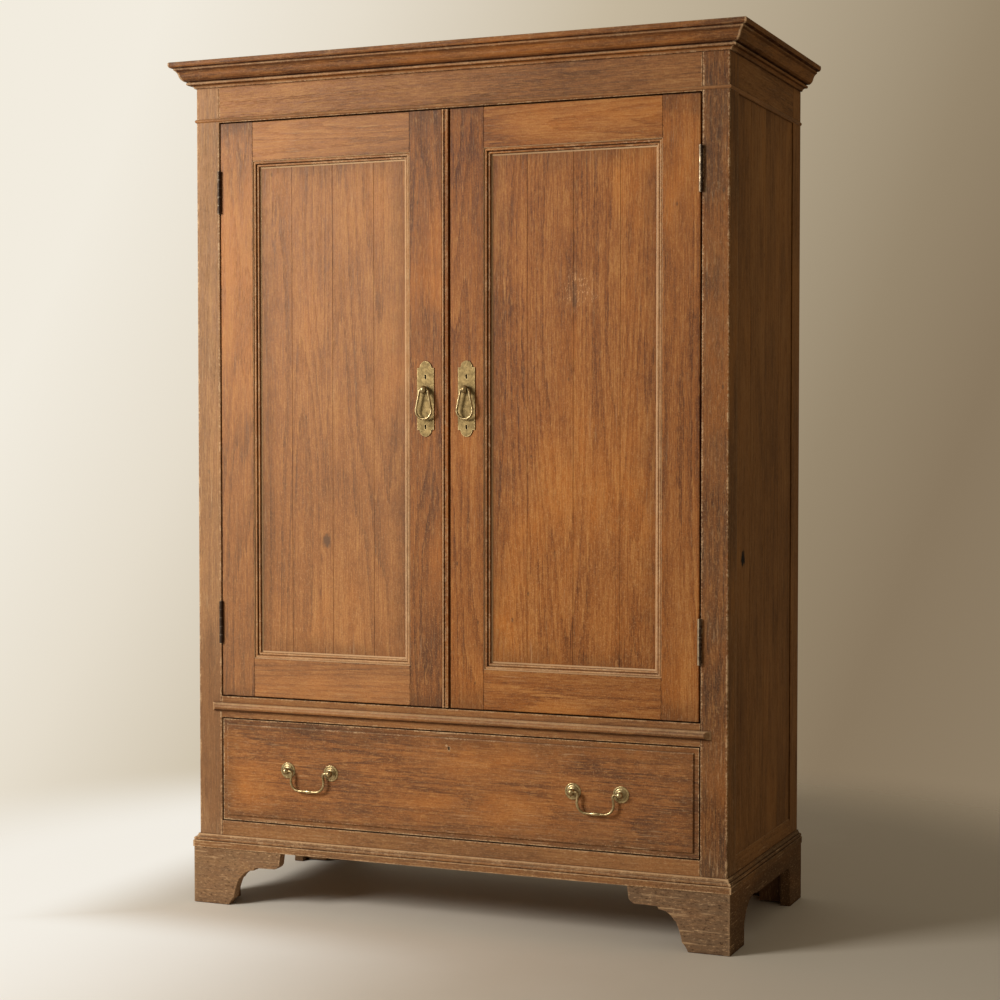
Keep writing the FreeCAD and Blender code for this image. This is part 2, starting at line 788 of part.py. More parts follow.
def side_bracket(name, side):
    """One board along the side: front foot, low apron and rear foot."""
    body = new_body(f"side_bracket_{name}")
    rear_inner = "back_face - rear_foot_width"
    pad(body, "YZ_Plane", [
        ("foot_front", "0"),
        ("foot_front + side_foot_width", "0"),
        ("foot_front + side_foot_width", "side_foot_shin"),
        ("foot_front + side_foot_width + side_curve_run", "foot_arch", "side_curve_radius", -1),
        (f"{rear_inner} - rear_curve_run", "foot_arch"),
        (rear_inner, "foot_arch - rear_curve_drop", "rear_curve_radius", -1),
        (rear_inner, "0"),
        ("back_face", "0"),
        ("back_face", "foot_height"),
        ("foot_front", "foot_height"),
    ], outward(side, "foot_outer - bracket_thickness", "bracket_thickness"), "bracket_thickness")
    inner = "foot_outer - bracket_thickness"
    cut(body, "XY_Plane", [
        (sided(side, "foot_outer"), "foot_front"),
        (sided(side, inner), "foot_front"),
        (sided(side, inner), "foot_front + bracket_thickness"),
    ], "-overrun", "foot_height + 2 * overrun")
    keep(body, f"side_bracket_{name}")


def rear_bracket(name, side):
    """Plain sloped board across the back of a rear foot."""
    body = new_body(f"rear_bracket_{name}")
    outer = "foot_outer - bracket_thickness"
    pad(body, "XZ_Plane", [
        (sided(side, outer), "0"),
        (sided(side, f"{outer} - rear_bracket_toe"), "0"),
        (sided(side, f"{outer} - rear_bracket_length"), "foot_arch"),
        (sided(side, f"{outer} - rear_bracket_length"), "foot_height"),
        (sided(side, outer), "foot_height"),
    ], "back_face - bracket_thickness", "bracket_thickness")
    return body


def foot_blocks():
    """Glued blocks in the four inner corners, short of the floor."""
    blocks = []
    rise = ("foot_block_lift", "foot_height - foot_block_lift")
    near = "foot_outer - bracket_thickness - foot_block_width"
    for name, side in SIDES.items():
        across = (outward(side, near, "foot_block_width"), "foot_block_width")
        for end, forward in (("front", "foot_front + bracket_thickness"),
                             ("rear", "back_face - bracket_thickness - foot_block_width")):
            blocks.append(board(f"foot_block_{end}_{name}", across, (forward, "foot_block_width"), rise))
    group("foot_blocks", blocks)


# Cupboard inside

def mirrored(corners):
    """Adds to a right half, listed from front to back, its left half."""
    return corners + [(f"-({across})", forward) for across, forward in reversed(corners)]


REAR_NOTCH = [("side_inner", "rear_post_front"), ("rear_post_inner", "rear_post_front"),
              ("rear_post_inner", "back_inner")]


def cupboard_floor():
    """Floor behind the waist rail, notched round all four posts; its front edge stops the doors."""
    body = new_body("cupboard_floor")
    corners = [("opening_half", "door_stop_face"), ("opening_half", "front_post_back"),
               ("side_inner", "front_post_back")]
    pad(body, "XY_Plane", mirrored(corners + REAR_NOTCH), "door_sill", "floor_thickness")
    keep(body, "cupboard_floor")


def shelf_underside(level):
    """Height of a shelf's underside; level 0 is the cupboard floor."""
    if level == 0:
        return "door_sill"
    count = len(SHELF_NAMES)
    clear = f"(door_head - floor_top - {count} * shelf_thickness) / {count + 1}"
    return f"floor_top + {level} * {clear} + {level - 1} * shelf_thickness"


def shelves():
    for level, label in enumerate(SHELF_NAMES, start=1):
        body = new_body(label)
        pad(body, "XY_Plane", mirrored([("side_inner", "front_post_back")] + REAR_NOTCH),
            shelf_underside(level), "shelf_thickness")
        keep(body, label)


def shelf_bearers():
    """Battens under the floor and shelves, fixed to the side boards."""
    battens = []
    forward = ("front_post_back", "rear_post_front - front_post_back")
    for name, side in SIDES.items():
        across = (outward(side, "side_inner - bearer_width", "bearer_width"), "bearer_width")
        for level in range(len(SHELF_NAMES) + 1):
            rise = (f"{shelf_underside(level)} - bearer_height", "bearer_height")
            battens.append(board(f"bearer_{name}_{level}", across, forward, rise))
    group("shelf_bearers", battens)


# Doors

def door_edges(side):
    """Closing edge of a door's frame, and the two inner edges of its stiles."""
    closing = "meeting_gap" if side > 0 else "astragal_inner"
    hinge_inner = sided(side, "hinge_edge - hinge_stile_width")
    meeting_inner = f"{closing} + {sided(side, 'meeting_stile_width')}"
    return closing, hinge_inner, meeting_inner


def stile(label, side, edge, inner, toward_edge):
    """An upright of a door, grooved on its inner edge for the panel.

    toward_edge is 1 or -1, the way along X from the groove to the stile's outer edge.
    """
    body = new_body(label)
    groove = f"{inner} + {toward_edge} * panel_groove_depth"
    pad(body, "XY_Plane", [
        (f"{edge} - {toward_edge} * arris", "front_face"),
        (inner, "front_face"),
        (inner, "panel_front"),
        (groove, "panel_front"),
        (groove, "panel_back"),
        (inner, "panel_back"),
        (inner, "door_back"),
        (edge, "door_back"),
        (edge, "front_face + arris"),
    ], "door_foot", "door_top - door_foot")
    keep(body, label)


def door_rail(label, start, length, edge, inner, toward_edge):
    """A rail between the stiles, with tongues in their grooves."""
    body = new_body(label)
    groove = f"{inner} + {toward_edge} * panel_groove_depth"
    pad(body, "YZ_Plane", [
        ("front_face", f"{edge} - {toward_edge} * arris"),
        ("front_face", inner),
        ("panel_front", inner),
        ("panel_front", groove),
        ("panel_back", groove),
        ("panel_back", inner),
        ("door_back", inner),
        ("door_back", edge),
        ("front_face + arris", edge),
    ], start, length)
    pad(body, "YZ_Plane", rectangle(("panel_front", "panel_back"), (groove, edge)),
        f"{start} - panel_groove_depth", f"{length} + 2 * panel_groove_depth")
    keep(body, label)


def panel_boards(label, start, length):
    tongue = "panel_groove_depth - panel_clearance"
    rise = (f"panel_foot - ({tongue})", f"panel_top - panel_foot + 2 * ({tongue})")
    group(label, [
        board(f"{label}_{index}", across, ("panel_front", "panel_thickness"), rise)
        for index, across in enumerate(split(f"{start} - ({tongue})", f"{length} + 2 * ({tongue})",
                                             PANEL_BOARD_COUNT))])


def panel_moulding(label, start, length):
    """Four mitred lengths round the sunk panel."""
    end = f"{start} + {length}"
    width = "panel_moulding_width"
    depth = ("panel_front", "-panel_moulding_height")
    lengths = []
    # Uprights: the panel's two side edges, with the way inward from each
    for name, edge, inward in (("start", start, 1), ("end", end, -1)):
        body = new_body(f"{label}_{name}")
        outline = shaped(PANEL_MOULDING_SHARES, (edge, f"{inward} * {width}"), depth, width, turn=-inward)
        pad(body, "XY_Plane", outline, "panel_foot", "panel_top - panel_foot")
        for level, upward in (("panel_foot", 1), ("panel_top", -1)):
            cut(body, "XZ_Plane", [
                (edge, level),
                (f"{edge} + {inward} * ({width} + overrun)", level),
                (f"{edge} + {inward} * ({width} + overrun)", f"{level} + {upward} * ({width} + overrun)"),
            ], "panel_front - panel_moulding_height - overrun", "panel_moulding_height + 2 * overrun")
        lengths.append(body)
    # Levels: the panel's foot and top, with the way inward from each
    for name, level, upward in (("foot", "panel_foot", 1), ("top", "panel_top", -1)):
        body = new_body(f"{label}_{name}")
        outline = shaped(PANEL_MOULDING_SHARES, (level, f"{upward} * {width}"), depth, width,
                         turn=-upward, turned=True)
        pad(body, "YZ_Plane", outline, start, length)
        for edge, inward in ((start, 1), (end, -1)):
            cut(body, "XZ_Plane", [
                (edge, level),
                (edge, f"{level} + {upward} * ({width} + overrun)"),
                (f"{edge} + {inward} * ({width} + overrun)", f"{level} + {upward} * ({width} + overrun)"),
            ], "panel_front - panel_moulding_height - overrun", "panel_moulding_height + 2 * overrun")
        lengths.append(body)
    group(label, lengths)


def astragal():
    """Bead and flat on the left door's closing edge."""
    body = new_body("left_door_astragal")
    front = shaped(ASTRAGAL_SHARES, ("astragal_inner", "astragal_width"),
                   ("front_face", "-astragal_projection"), "astragal_width", turn=1)
    back = [("-astragal_setback", "door_back"), ("astragal_inner", "door_back")]
    pad(body, "XY_Plane", front + back, "door_foot", "door_top - door_foot")
    keep(body, "left_door_astragal")


def door(name, side):
    closing, hinge_inner, meeting_inner = door_edges(side)
    start, far = (hinge_inner, meeting_inner) if side < 0 else (meeting_inner, hinge_inner)
    length = f"({far}) - ({start})"
    stile(f"{name}_door_hinge_stile", side, sided(side, "hinge_edge"), hinge_inner, side)
    stile(f"{name}_door_meeting_stile", side, closing, meeting_inner, -side)
    door_rail(f"{name}_door_top_rail", start, length, "door_top", "panel_top", 1)
    door_rail(f"{name}_door_bottom_rail", start, length, "door_foot", "panel_foot", -1)
    panel_boards(f"{name}_door_panel", start, length)
    panel_moulding(f"{name}_door_moulding", start, length)


# Hinges, each drawn round its own pin and then placed

def hinge_rises():
    return {"lower": "door_foot + lower_hinge_inset - hinge_length / 2",
            "upper": "door_top - upper_hinge_inset - hinge_length / 2"}


def hinge_leaf(name, leaf_side, first_knuckle, knuckles, across, rise):
    """A leaf in the door's gap, with its share of the five knuckles round the pin.

    leaf_side is 1 or -1, the way along X from the pin to the face that the leaf lies on.
    """
    body = new_body(name)
    face, back = sided(leaf_side, "door_gap / 2"), sided(leaf_side, "door_gap / 2 - leaf_thickness")
    pad(body, "XY_Plane", rectangle((back, face), ("knuckle_standoff", "knuckle_standoff + leaf_width")),
        "0", "hinge_length")
    start = f"{first_knuckle} * knuckle_step"
    web = pad(body, "XY_Plane", rectangle((back, face), ("0", "knuckle_standoff + leaf_thickness")),
              start, "knuckle_length")
    barrel = pad_round(body, "XY_Plane", "0", "0", "knuckle_radius", start, "knuckle_length")
    doc.recompute()
    row = body.newObject("PartDesign::LinearPattern", name + "_row")
    row.Originals = [web, barrel]
    upright = next(item for item in body.Origin.OriginFeatures if item.Role == "Z_Axis")
    row.Direction = (upright, [""])
    bind(row, "Length", f"{2 * (knuckles - 1)} * knuckle_step")
    row.Occurrences = knuckles
    body.Tip = row
    doc.recompute()
    body.Tip = cut_round(body, "XY_Plane", "0", "0", "knuckle_bore", "-overrun", "hinge_length + 2 * overrun")
    place(body, across, "pin_forward", rise)
    return body


def hinges():
    """Frame leaves and pins belong to the carcase, door leaves to each door."""
    fixed = []
    for name, side in SIDES.items():
        swinging = []
        across = sided(side, "pin_across")
        for level, rise in hinge_rises().items():
            fixed.append(hinge_leaf(f"frame_leaf_{name}_{level}", side, 0, 3, across, rise))
            swinging.append(hinge_leaf(f"door_leaf_{name}_{level}", -side, 1, 2, across, rise))
            pin = doc.addObject("Part::Cylinder", f"hinge_pin_{name}_{level}")
            bind(pin, "Radius", "hinge_pin_radius")
            bind(pin, "Height", "hinge_length")
            place(pin, across, "pin_forward", rise)
            fixed.append(pin)
        group(f"{name}_door_hinge_leaves", swinging)
    group("frame_hinges", fixed)


# Door pulls, drawn round the middle of the plate and then placed

def pull_across(side):
    closing, _, meeting_inner = door_edges(side)
    return f"({closing} + {meeting_inner}) / 2"


def plate_outline():
    half_width, half_height = "plate_width / 2", "plate_height / 2"
    shoulder = f"{half_height} - plate_lobe_height"
    return [
        (half_width, f"-({shoulder})"),
        (half_width, shoulder),
        ("plate_lobe_half", shoulder),
        ("0", half_height, "plate_lobe_radius", 1),
        ("-plate_lobe_half", shoulder, "plate_lobe_radius", 1),
        (f"-{half_width}", shoulder),
        (f"-{half_width}", f"-({shoulder})"),
        ("-plate_lobe_half", f"-({shoulder})"),
        ("0", f"-{half_height}", "plate_lobe_radius", 1),
        ("plate_lobe_half", f"-({shoulder})", "plate_lobe_radius", 1),
    ]


def slot_outline(middle, width, height):
    """An upright slot with round ends."""
    half_width = f"({width}) / 2"
    straight = f"({height} - {width}) / 2"
    return [
        (half_width, f"{middle} - {straight}", half_width, 1),
        (half_width, f"{middle} + {straight}"),
        ("0", f"{middle} + {height} / 2", half_width, 1),
        (f"-{half_width}", f"{middle} + {straight}", half_width, 1),
        (f"-{half_width}", f"{middle} - {straight}"),
        ("0", f"{middle} - {height} / 2", half_width, 1),
    ]


def pull_plate(name, side):
    """Backplate with lobed ends and two slots, and the ball-headed post that carries the drop."""
    plate = new_body(f"{name}_plate")
    pad(plate, "XZ_Plane", plate_outline(), "-plate_thickness", "plate_thickness")
    for middle in ("upper_slot_rise", "-lower_slot_drop"):
        outline = slot_outline(middle, "plate_slot_width", "plate_slot_height")
        cut(plate, "XZ_Plane", outline, "-plate_thickness - overrun", "plate_thickness + 2 * overrun")
    place(plate, pull_across(side), "front_face", "plate_middle")

    post = new_body(f"{name}_post")
    ball_middle = "-(plate_thickness + pull_ball_standoff)"
    neck_end = f"{ball_middle} + sqrt(pull_ball_radius ^ 2 - pull_post_radius ^ 2)"
    sketch = new_sketch(post, "XY_Plane", "0")
    draw(sketch, [
        ("0", "-plate_thickness"),
        ("0", f"{ball_middle} - pull_ball_radius"),
        ("pull_ball_radius", ball_middle, "pull_ball_radius", 1),
        ("pull_post_radius", neck_end, "pull_ball_radius", 1),
        ("pull_post_radius", "-plate_thickness"),
    ])
    turn_solid(post, sketch, "V_Axis")
    # Flat cheeks, clear of the drop's two elbows
    cheek_reach = "pull_ball_radius + overrun"
    cheek = rectangle((f"{ball_middle} - ({cheek_reach})", f"{ball_middle} + {cheek_reach}"),
                      (f"-({cheek_reach})", cheek_reach))
    for way in SIDES.values():
        cut(post, "YZ_Plane", cheek, outward(way, "pull_ball_half", cheek_reach), cheek_reach)
    cut_round(post, "YZ_Plane", ball_middle, "0", "drop_wire_radius + brass_bore_clearance",
              "-pull_ball_radius - overrun", "2 * (pull_ball_radius + overrun)")
    place(post, pull_across(side), "front_face", "plate_middle + pull_pivot_rise")
    group(f"{name}_pull_plate", [plate, post])


def drop_pull(name, side):
    """Open teardrop of wire whose two ends turn in the post's bore."""
    body = new_body(f"{name}_drop_pull")
    bend_end = ("drop_elbow + drop_bend_radius * sin(drop_turn)", "-drop_bend_radius * (1 - cos(drop_turn))")
    round_end = ("drop_round_radius * sin(drop_turn)",
                 "-(drop_length - drop_round_radius) + drop_round_radius * cos(drop_turn)")
    route = new_sketch(body, "XZ_Plane", "0")
    draw(route, [
        ("-drop_pin_gap", "0"),
        ("-drop_elbow", "0"),
        (f"-({bend_end[0]})", bend_end[1], "drop_bend_radius", 1),
        (f"-({round_end[0]})", round_end[1]),
        ("0", "-drop_length", "drop_round_radius", 1),
        (round_end[0], round_end[1], "drop_round_radius", 1),
        bend_end,
        ("drop_elbow", "0", "drop_bend_radius", 1),
        ("drop_pin_gap", "0"),
    ], closed=False)
    profile = new_sketch(body, "YZ_Plane", "-drop_pin_gap")
    draw_circle(profile, "0", "0", "drop_wire_radius")
    pipe(body, route, profile)
    place(body, pull_across(side), "front_face - plate_thickness - pull_ball_standoff",
          "plate_middle + pull_pivot_rise")
    keep(body, f"{name}_drop_pull")


# Drawer

def dovetails():
    """Outlines, seen from the side, of the tails that lock a drawer side into the front."""
    neck, head = "drawer_front_back", "drawer_front_back - dovetail_length"
    narrow, wide = "dovetail_width / 2", "(dovetail_width / 2 + dovetail_flare)"
    pitch = f"(drawer_side_top - drawer_bottom_top) / {DOVETAIL_COUNT}"
    outlines = []
    for index in range(DOVETAIL_COUNT):
        middle = f"drawer_bottom_top + {pitch} * ({index} + 1 / 2)"
        outlines.append([(neck, f"{middle} - {narrow}"), (head, f"{middle} - {wide}"),
                         (head, f"{middle} + {wide}"), (neck, f"{middle} + {narrow}")])
    return outlines


def drawer_front():
    """Board with a sunk lip round a rounded field, a groove for the bottom, a keyhole and lapped sockets."""
    body = new_body("drawer_front")
    lip_face = "front_face + drawer_lip_sink"
    pad(body, "XZ_Plane", rectangle(("-drawer_half", "drawer_half"), ("drawer_foot", "drawer_top")),
        lip_face, "drawer_front_thickness - drawer_lip_sink")
    field = pad(body, "XZ_Plane", rectangle(
        ("-(drawer_half - drawer_lip_width)", "drawer_half - drawer_lip_width"),
        ("drawer_foot + drawer_lip_width", "drawer_top - drawer_lip_width")),
        "drawer_field_face", "drawer_field_rise + drawer_lip_sink")
    doc.recompute()
    front = min(range(len(field.Shape.Faces)), key=lambda index: field.Shape.Faces[index].CenterOfMass.y)
    ovolo = body.newObject("PartDesign::Fillet", "drawer_field_ovolo")
    ovolo.Base = (field, [f"Face{front + 1}"])
    bind(ovolo, "Radius", "drawer_field_round")
    doc.recompute()
    groove_half = "drawer_side_inner + drawer_bottom_groove"
    groove_start = "drawer_front_back - drawer_bottom_groove"
    cut(body, "YZ_Plane", rectangle((groove_start, "drawer_front_back + overrun"),
                                    ("drawer_bottom_foot", "drawer_bottom_top")),
        f"-({groove_half})", f"2 * ({groove_half})")
    keyhole = slot_outline("keyhole_middle", "keyhole_width", "keyhole_height")
    cut(body, "XZ_Plane", keyhole, "drawer_field_face - overrun", "drawer_front_thickness + 2 * overrun")
    socket_run = "drawer_side_thickness + overrun"
    for side in SIDES.values():
        for outline in dovetails():
            cut(body, "YZ_Plane", outline, outward(side, "drawer_side_inner", socket_run), socket_run)
    keep(body, "drawer_front")


def drawer_sides():
    """Two sides, each grooved on its inner face for the bottom, with dovetails at the front."""
    members = []
    for name, side in SIDES.items():
        body = new_body(f"drawer_side_{name}")
        outer, inner = sided(side, "drawer_half"), sided(side, "drawer_side_inner")
        groove = sided(side, "drawer_side_inner + drawer_bottom_groove")
        pad(body, "XZ_Plane", [
            (outer, "drawer_side_foot"), (outer, "drawer_side_top"), (inner, "drawer_side_top"),
            (inner, "drawer_bottom_top"), (groove, "drawer_bottom_top"), (groove, "drawer_bottom_foot"),
            (inner, "drawer_bottom_foot"), (inner, "drawer_side_foot"),
        ], "drawer_front_back", "drawer_end - drawer_front_back")
        start = outward(side, "drawer_side_inner", "drawer_side_thickness")
        for outline in dovetails():
            pad(body, "YZ_Plane", outline, start, "drawer_side_thickness")
        members.append(body)
    group("drawer_sides", members)


def drawer_box():
    across = ("-drawer_side_inner", "2 * drawer_side_inner")
    keep(board("drawer_back", across, ("drawer_end - drawer_back_thickness", "drawer_back_thickness"),
               ("drawer_bottom_top", "drawer_side_top - drawer_bottom_top")), "drawer_back")
    # The bottom lies in the grooves of the sides and the front, and runs out under the back
    tongue = "drawer_bottom_groove - panel_clearance"
    half = f"drawer_side_inner + {tongue}"
    start = f"drawer_front_back - ({tongue})"
    keep(board("drawer_bottom", (f"-({half})", f"2 * ({half})"), (start, f"drawer_end - ({start})"),
               ("drawer_bottom_foot", "drawer_bottom_thickness")), "drawer_bottom")
    keep(board("drawer_lock", ("-lock_width / 2", "lock_width"), ("drawer_front_back", "lock_thickness"),
               ("keyhole_middle - lock_height / 2", "lock_height")), "drawer_lock")


def drawer_runners():
    """A runner and guide on each side, between the front and rear posts."""
    members = []
    for name, side in SIDES.items():
        body = new_body(f"drawer_runner_{name}")
        wall, guide = sided(side, "side_rail_inner"), sided(side, "guide_inner")
        tread = sided(side, "guide_inner - runner_width")
        pad(body, "XZ_Plane", [
            (wall, "drawer_sill - runner_height"), (wall, "drawer_sill + guide_height"),
            (guide, "drawer_sill + guide_height"), (guide, "drawer_sill"),
            (tread, "drawer_sill"), (tread, "drawer_sill - runner_height"),
        ], "front_post_back", "rear_post_front - front_post_back")
        members.append(body)
    group("drawer_runners", members)


def drawer_stops():
    """Blocks on the bottom rail that the drawer front closes against."""
    forward = ("drawer_front_back + drawer_stop_clearance", "drawer_stop_depth")
    rise = ("drawer_sill", "drawer_stop_height")
    blocks = []
    for name, side in SIDES.items():
        across = (f"{sided(side, 'drawer_stop_offset')} - drawer_stop_width / 2", "drawer_stop_width")
        blocks.append(board(f"drawer_stop_{name}", across, forward, rise))
    group("drawer_stops", blocks)


# Drawer handles, drawn round one post or round the middle of the bail, and then placed

def handle_post(name, across, inward):
    """Stepped rose, neck and ball, bored from its inner side for the bail's end."""
    body = new_body(name)
    sketch = new_sketch(body, "XY_Plane", "0")
    rose = shaped(ROSE_SHARES, ("0", "rose_radius"), ("0", "-rose_height"), "rose_radius", turn=-1)
    ball_back = "-handle_ball_standoff + sqrt(handle_ball_radius ^ 2 - handle_neck_radius ^ 2)"
    draw(sketch, rose + [
        ("handle_neck_radius", "-rose_height", "rose_radius / 2", 1),
        ("handle_neck_radius", ball_back),
        ("handle_ball_radius", "-handle_ball_standoff", "handle_ball_radius", -1),
        ("0", "-(handle_ball_standoff + handle_ball_radius)", "handle_ball_radius", -1),
    ])
    turn_solid(body, sketch, "V_Axis")
    depth = "handle_ball_radius + bail_pin_gap / 2"
    cut_round(body, "YZ_Plane", "-handle_ball_standoff", "0", "bail_wire_radius + brass_bore_clearance",
              outward(inward, "-bail_pin_gap / 2", f"{depth} + overrun"), f"{depth} + overrun")
    place(body, across, "drawer_field_face", "handle_height")
    return body


def handle_posts():
    posts = []
    for name, side in SIDES.items():
        for end, way in SIDES.items():
            across = f"{sided(side, 'handle_offset')} + {sided(way, 'handle_spacing / 2')}"
            posts.append(handle_post(f"handle_post_{name}_{end}", across, -way))
    group("drawer_handle_posts", posts)


def bail(name, side):
    """Swan-neck bail: a bent wire that thickens to a grip at its middle."""
    body = new_body(f"{name}_bail")
    right_half = [
        ("bail_base_across", "-bail_drop"),
        ("bail_knee_across", "-bail_knee_fall", "bail_corner_radius", 1),
        ("bail_neck_across", "-bail_neck_fall"),
        ("bail_shoulder", "0", "bail_neck_radius", -1),
        ("bail_half", "0"),
    ]
    left_half = [
        ("-bail_half", "0"),
        ("-bail_shoulder", "0"),
        ("-bail_neck_across", "-bail_neck_fall", "bail_neck_radius", -1),
        ("-bail_knee_across", "-bail_knee_fall"),
        ("-bail_base_across", "-bail_drop", "bail_corner_radius", 1),
    ]
    route = new_sketch(body, "XZ_Plane", "0")
    draw(route, left_half + right_half, closed=False)
    profile = new_sketch(body, "YZ_Plane", "-bail_half")
    draw_circle(profile, "0", "0", "bail_wire_radius")
    pipe(body, route, profile)

    grip = new_sketch(body, "XZ_Plane", "0")
    bind(grip, "AttachmentOffset.Base.y", "-bail_drop")
    swell = "(bail_grip_half ^ 2 + bail_grip_radius ^ 2) / (2 * bail_grip_radius)"
    draw(grip, [
        ("-bail_grip_half", "0", swell, 1),
        ("bail_grip_half", "0"),
        ("0", "bail_grip_radius", swell, 1),
    ])
    turn_solid(body, grip, "H_Axis")
    place(body, sided(side, "handle_offset"), "drawer_field_face - handle_ball_standoff", "handle_height")
    keep(body, f"{name}_bail")


def build():
    fill_sheet()
    for name, side in SIDES.items():
        front_post(name, side)
        rear_post(name, side)
        side_rails(name, side)
        side_boards(name, side)
        side_bracket(name, side)
    front_rails()
    back_rails()
    back_boards()
    top_boards()
    wrapped_moulding("cornice", CORNICE_SHARES, "cornice_projection", "cornice_foot", "cornice_height")
    wrapped_moulding("plinth", PLINTH_SHARES, "plinth_projection", "foot_height", "plinth_height")
    frieze_bead()
    waist_moulding()
    group("front_brackets", [front_bracket(name, side) for name, side in SIDES.items()])
    group("rear_brackets", [rear_bracket(name, side) for name, side in SIDES.items()])
    foot_blocks()
    cupboard_floor()
    shelves()
    shelf_bearers()
    for name, side in SIDES.items():
        door(name, side)
        pull_plate(name, side)
        drop_pull(name, side)
        bail(name, side)
    astragal()
    hinges()
    drawer_front()
    drawer_sides()
    drawer_box()
    drawer_runners()
    drawer_stops()
    handle_posts()
    doc.recompute()


def check():
    """Stops on a failed feature, a bad shape, or a cut that took nothing away."""
    for thing in doc.Objects:
        if "Invalid" in thing.State or "Error" in thing.State:
            raise RuntimeError(f"{thing.Name} failed: {thing.State}")
        if thing.TypeId == "PartDesign::Pocket" and thing.Shape.Volume >= thing.BaseFeature.Shape.Volume:
            raise RuntimeError(f"{thing.Name} cuts nothing")
    for thing in parts:
        if thing.Shape.isNull() or not thing.Shape.isValid():
            raise RuntimeError(f"{thing.Label} has no valid shape")


def write():
    os.makedirs("parts", exist_ok=True)
    for thing in parts:
        thing.Shape.exportStep(f"parts/{thing.Label}.step")


build()
check()
write()
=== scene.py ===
import json
import math
import random

import bmesh
import bpy
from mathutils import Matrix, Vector

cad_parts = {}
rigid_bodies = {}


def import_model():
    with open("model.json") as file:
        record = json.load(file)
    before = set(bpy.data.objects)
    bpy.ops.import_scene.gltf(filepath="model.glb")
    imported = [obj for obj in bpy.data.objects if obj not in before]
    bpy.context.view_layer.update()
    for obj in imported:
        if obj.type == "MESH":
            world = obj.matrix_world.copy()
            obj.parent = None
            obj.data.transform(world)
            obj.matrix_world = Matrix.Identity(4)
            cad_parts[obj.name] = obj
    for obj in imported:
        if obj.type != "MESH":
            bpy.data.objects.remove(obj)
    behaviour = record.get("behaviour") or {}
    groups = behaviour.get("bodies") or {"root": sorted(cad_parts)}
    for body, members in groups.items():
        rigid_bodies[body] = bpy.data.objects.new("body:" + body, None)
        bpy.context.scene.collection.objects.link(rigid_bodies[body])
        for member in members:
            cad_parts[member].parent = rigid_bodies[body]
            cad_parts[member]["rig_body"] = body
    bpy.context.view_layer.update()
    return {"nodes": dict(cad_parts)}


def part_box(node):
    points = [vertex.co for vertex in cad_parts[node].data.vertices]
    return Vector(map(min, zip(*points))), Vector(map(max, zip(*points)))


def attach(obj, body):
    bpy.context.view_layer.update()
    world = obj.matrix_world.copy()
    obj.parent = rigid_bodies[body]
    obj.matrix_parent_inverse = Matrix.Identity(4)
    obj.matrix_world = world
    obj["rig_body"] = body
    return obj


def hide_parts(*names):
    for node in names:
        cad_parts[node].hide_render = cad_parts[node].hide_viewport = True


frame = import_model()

# Lengths are in metres

WELD = 1e-6
FLAT_WITHIN = math.radians(0.6)
ARRIS_FROM = math.radians(35)
SHARP_FROM = math.radians(48)
ARRIS_STEPS = 2
# Outer faces of the press's sides lie beyond this, and turn to the side by more than this share
SIDE_FROM, SIDE_TURN = 0.63, 0.6
# Seed of boards cut from one plank, and how far a board that lies across moves its grain
MATCHED_SEED, CROSSWISE = 0.37, 0.21
# How far from its rim a board is toned
RIM_REACH = 0.06
# What all woods share: cloudy patches, pin knots, and dust on what faces up
BLOTCHING, KNOTTING, DUSTING = 0.9, 0.6, 0.45


def tint(red, green, blue):
    """A colour as a painter reads it, 0 to 255, as the shader wants it."""
    def straight(part):
        part /= 255
        return part / 12.92 if part <= 0.04045 else ((part + 0.055) / 1.055) ** 2.4
    return (straight(red), straight(green), straight(blue), 1.0)


PORE, KNOT, PALE_DOT, DARK_DOT = tint(48, 26, 12), tint(50, 30, 18), tint(214, 172, 122), tint(52, 30, 14)
BARE_WOOD_AND_HIGHLIGHT, DRY_WOOD, SOOT_AND_SHADE = tint(216, 180, 138), tint(126, 105, 82), tint(48, 17, 7)
FADED_AND_SHEEN, RIM_SHADE, OLD_DUST, PIT = tint(200, 164, 128), tint(66, 40, 22), tint(164, 142, 112), tint(58, 38, 24)
BRASS_DIRT, RUBBED_BRASS = tint(34, 24, 10), tint(232, 208, 152)
RUST_AND_SHADE, RUBBED_IRON, IRON_DIRT = tint(52, 36, 25), tint(170, 158, 142), tint(20, 14, 10)


# Putting nodes together

def feed(tree, socket, value):
    if isinstance(value, bpy.types.NodeSocket):
        tree.links.new(value, socket)
    elif value is not None:
        socket.default_value = value


def add(tree, kind, *values, **settings):
    """A new node, its own settings, and its inputs in order. None leaves an input as it is."""
    made = tree.nodes.new("ShaderNode" + kind)
    for key, value in settings.items():
        setattr(made, key, value)
    for socket, value in zip(made.inputs, values):
        feed(tree, socket, value)
    return made


def sums(tree, operation, *values, clamp=False):
    return add(tree, "Math", *values, operation=operation, use_clamp=clamp).outputs[0]


def vectors(tree, operation, *values):
    made = add(tree, "VectorMath", *values, operation=operation)
    return made.outputs["Value" if operation in ("DOT_PRODUCT", "LENGTH") else "Vector"]


def scaled(tree, vector, amount):
    made = add(tree, "VectorMath", vector, operation="SCALE")
    feed(tree, made.inputs["Scale"], amount)
    return made.outputs["Vector"]


def spread(tree, value, low, high, to_low=0.0, to_high=1.0, soft=False):
    kind = "SMOOTHSTEP" if soft else "LINEAR"
    return add(tree, "MapRange", value, low, high, to_low, to_high, interpolation_type=kind).outputs[0]


def cloud(tree, place, scale, detail, rough, distortion=0.0):
    made = add(tree, "TexNoise")
    values = {"Vector": place, "Scale": scale, "Detail": detail, "Roughness": rough, "Distortion": distortion}
    for name, value in values.items():
        feed(tree, made.inputs[name], value)
    return made.outputs[0]


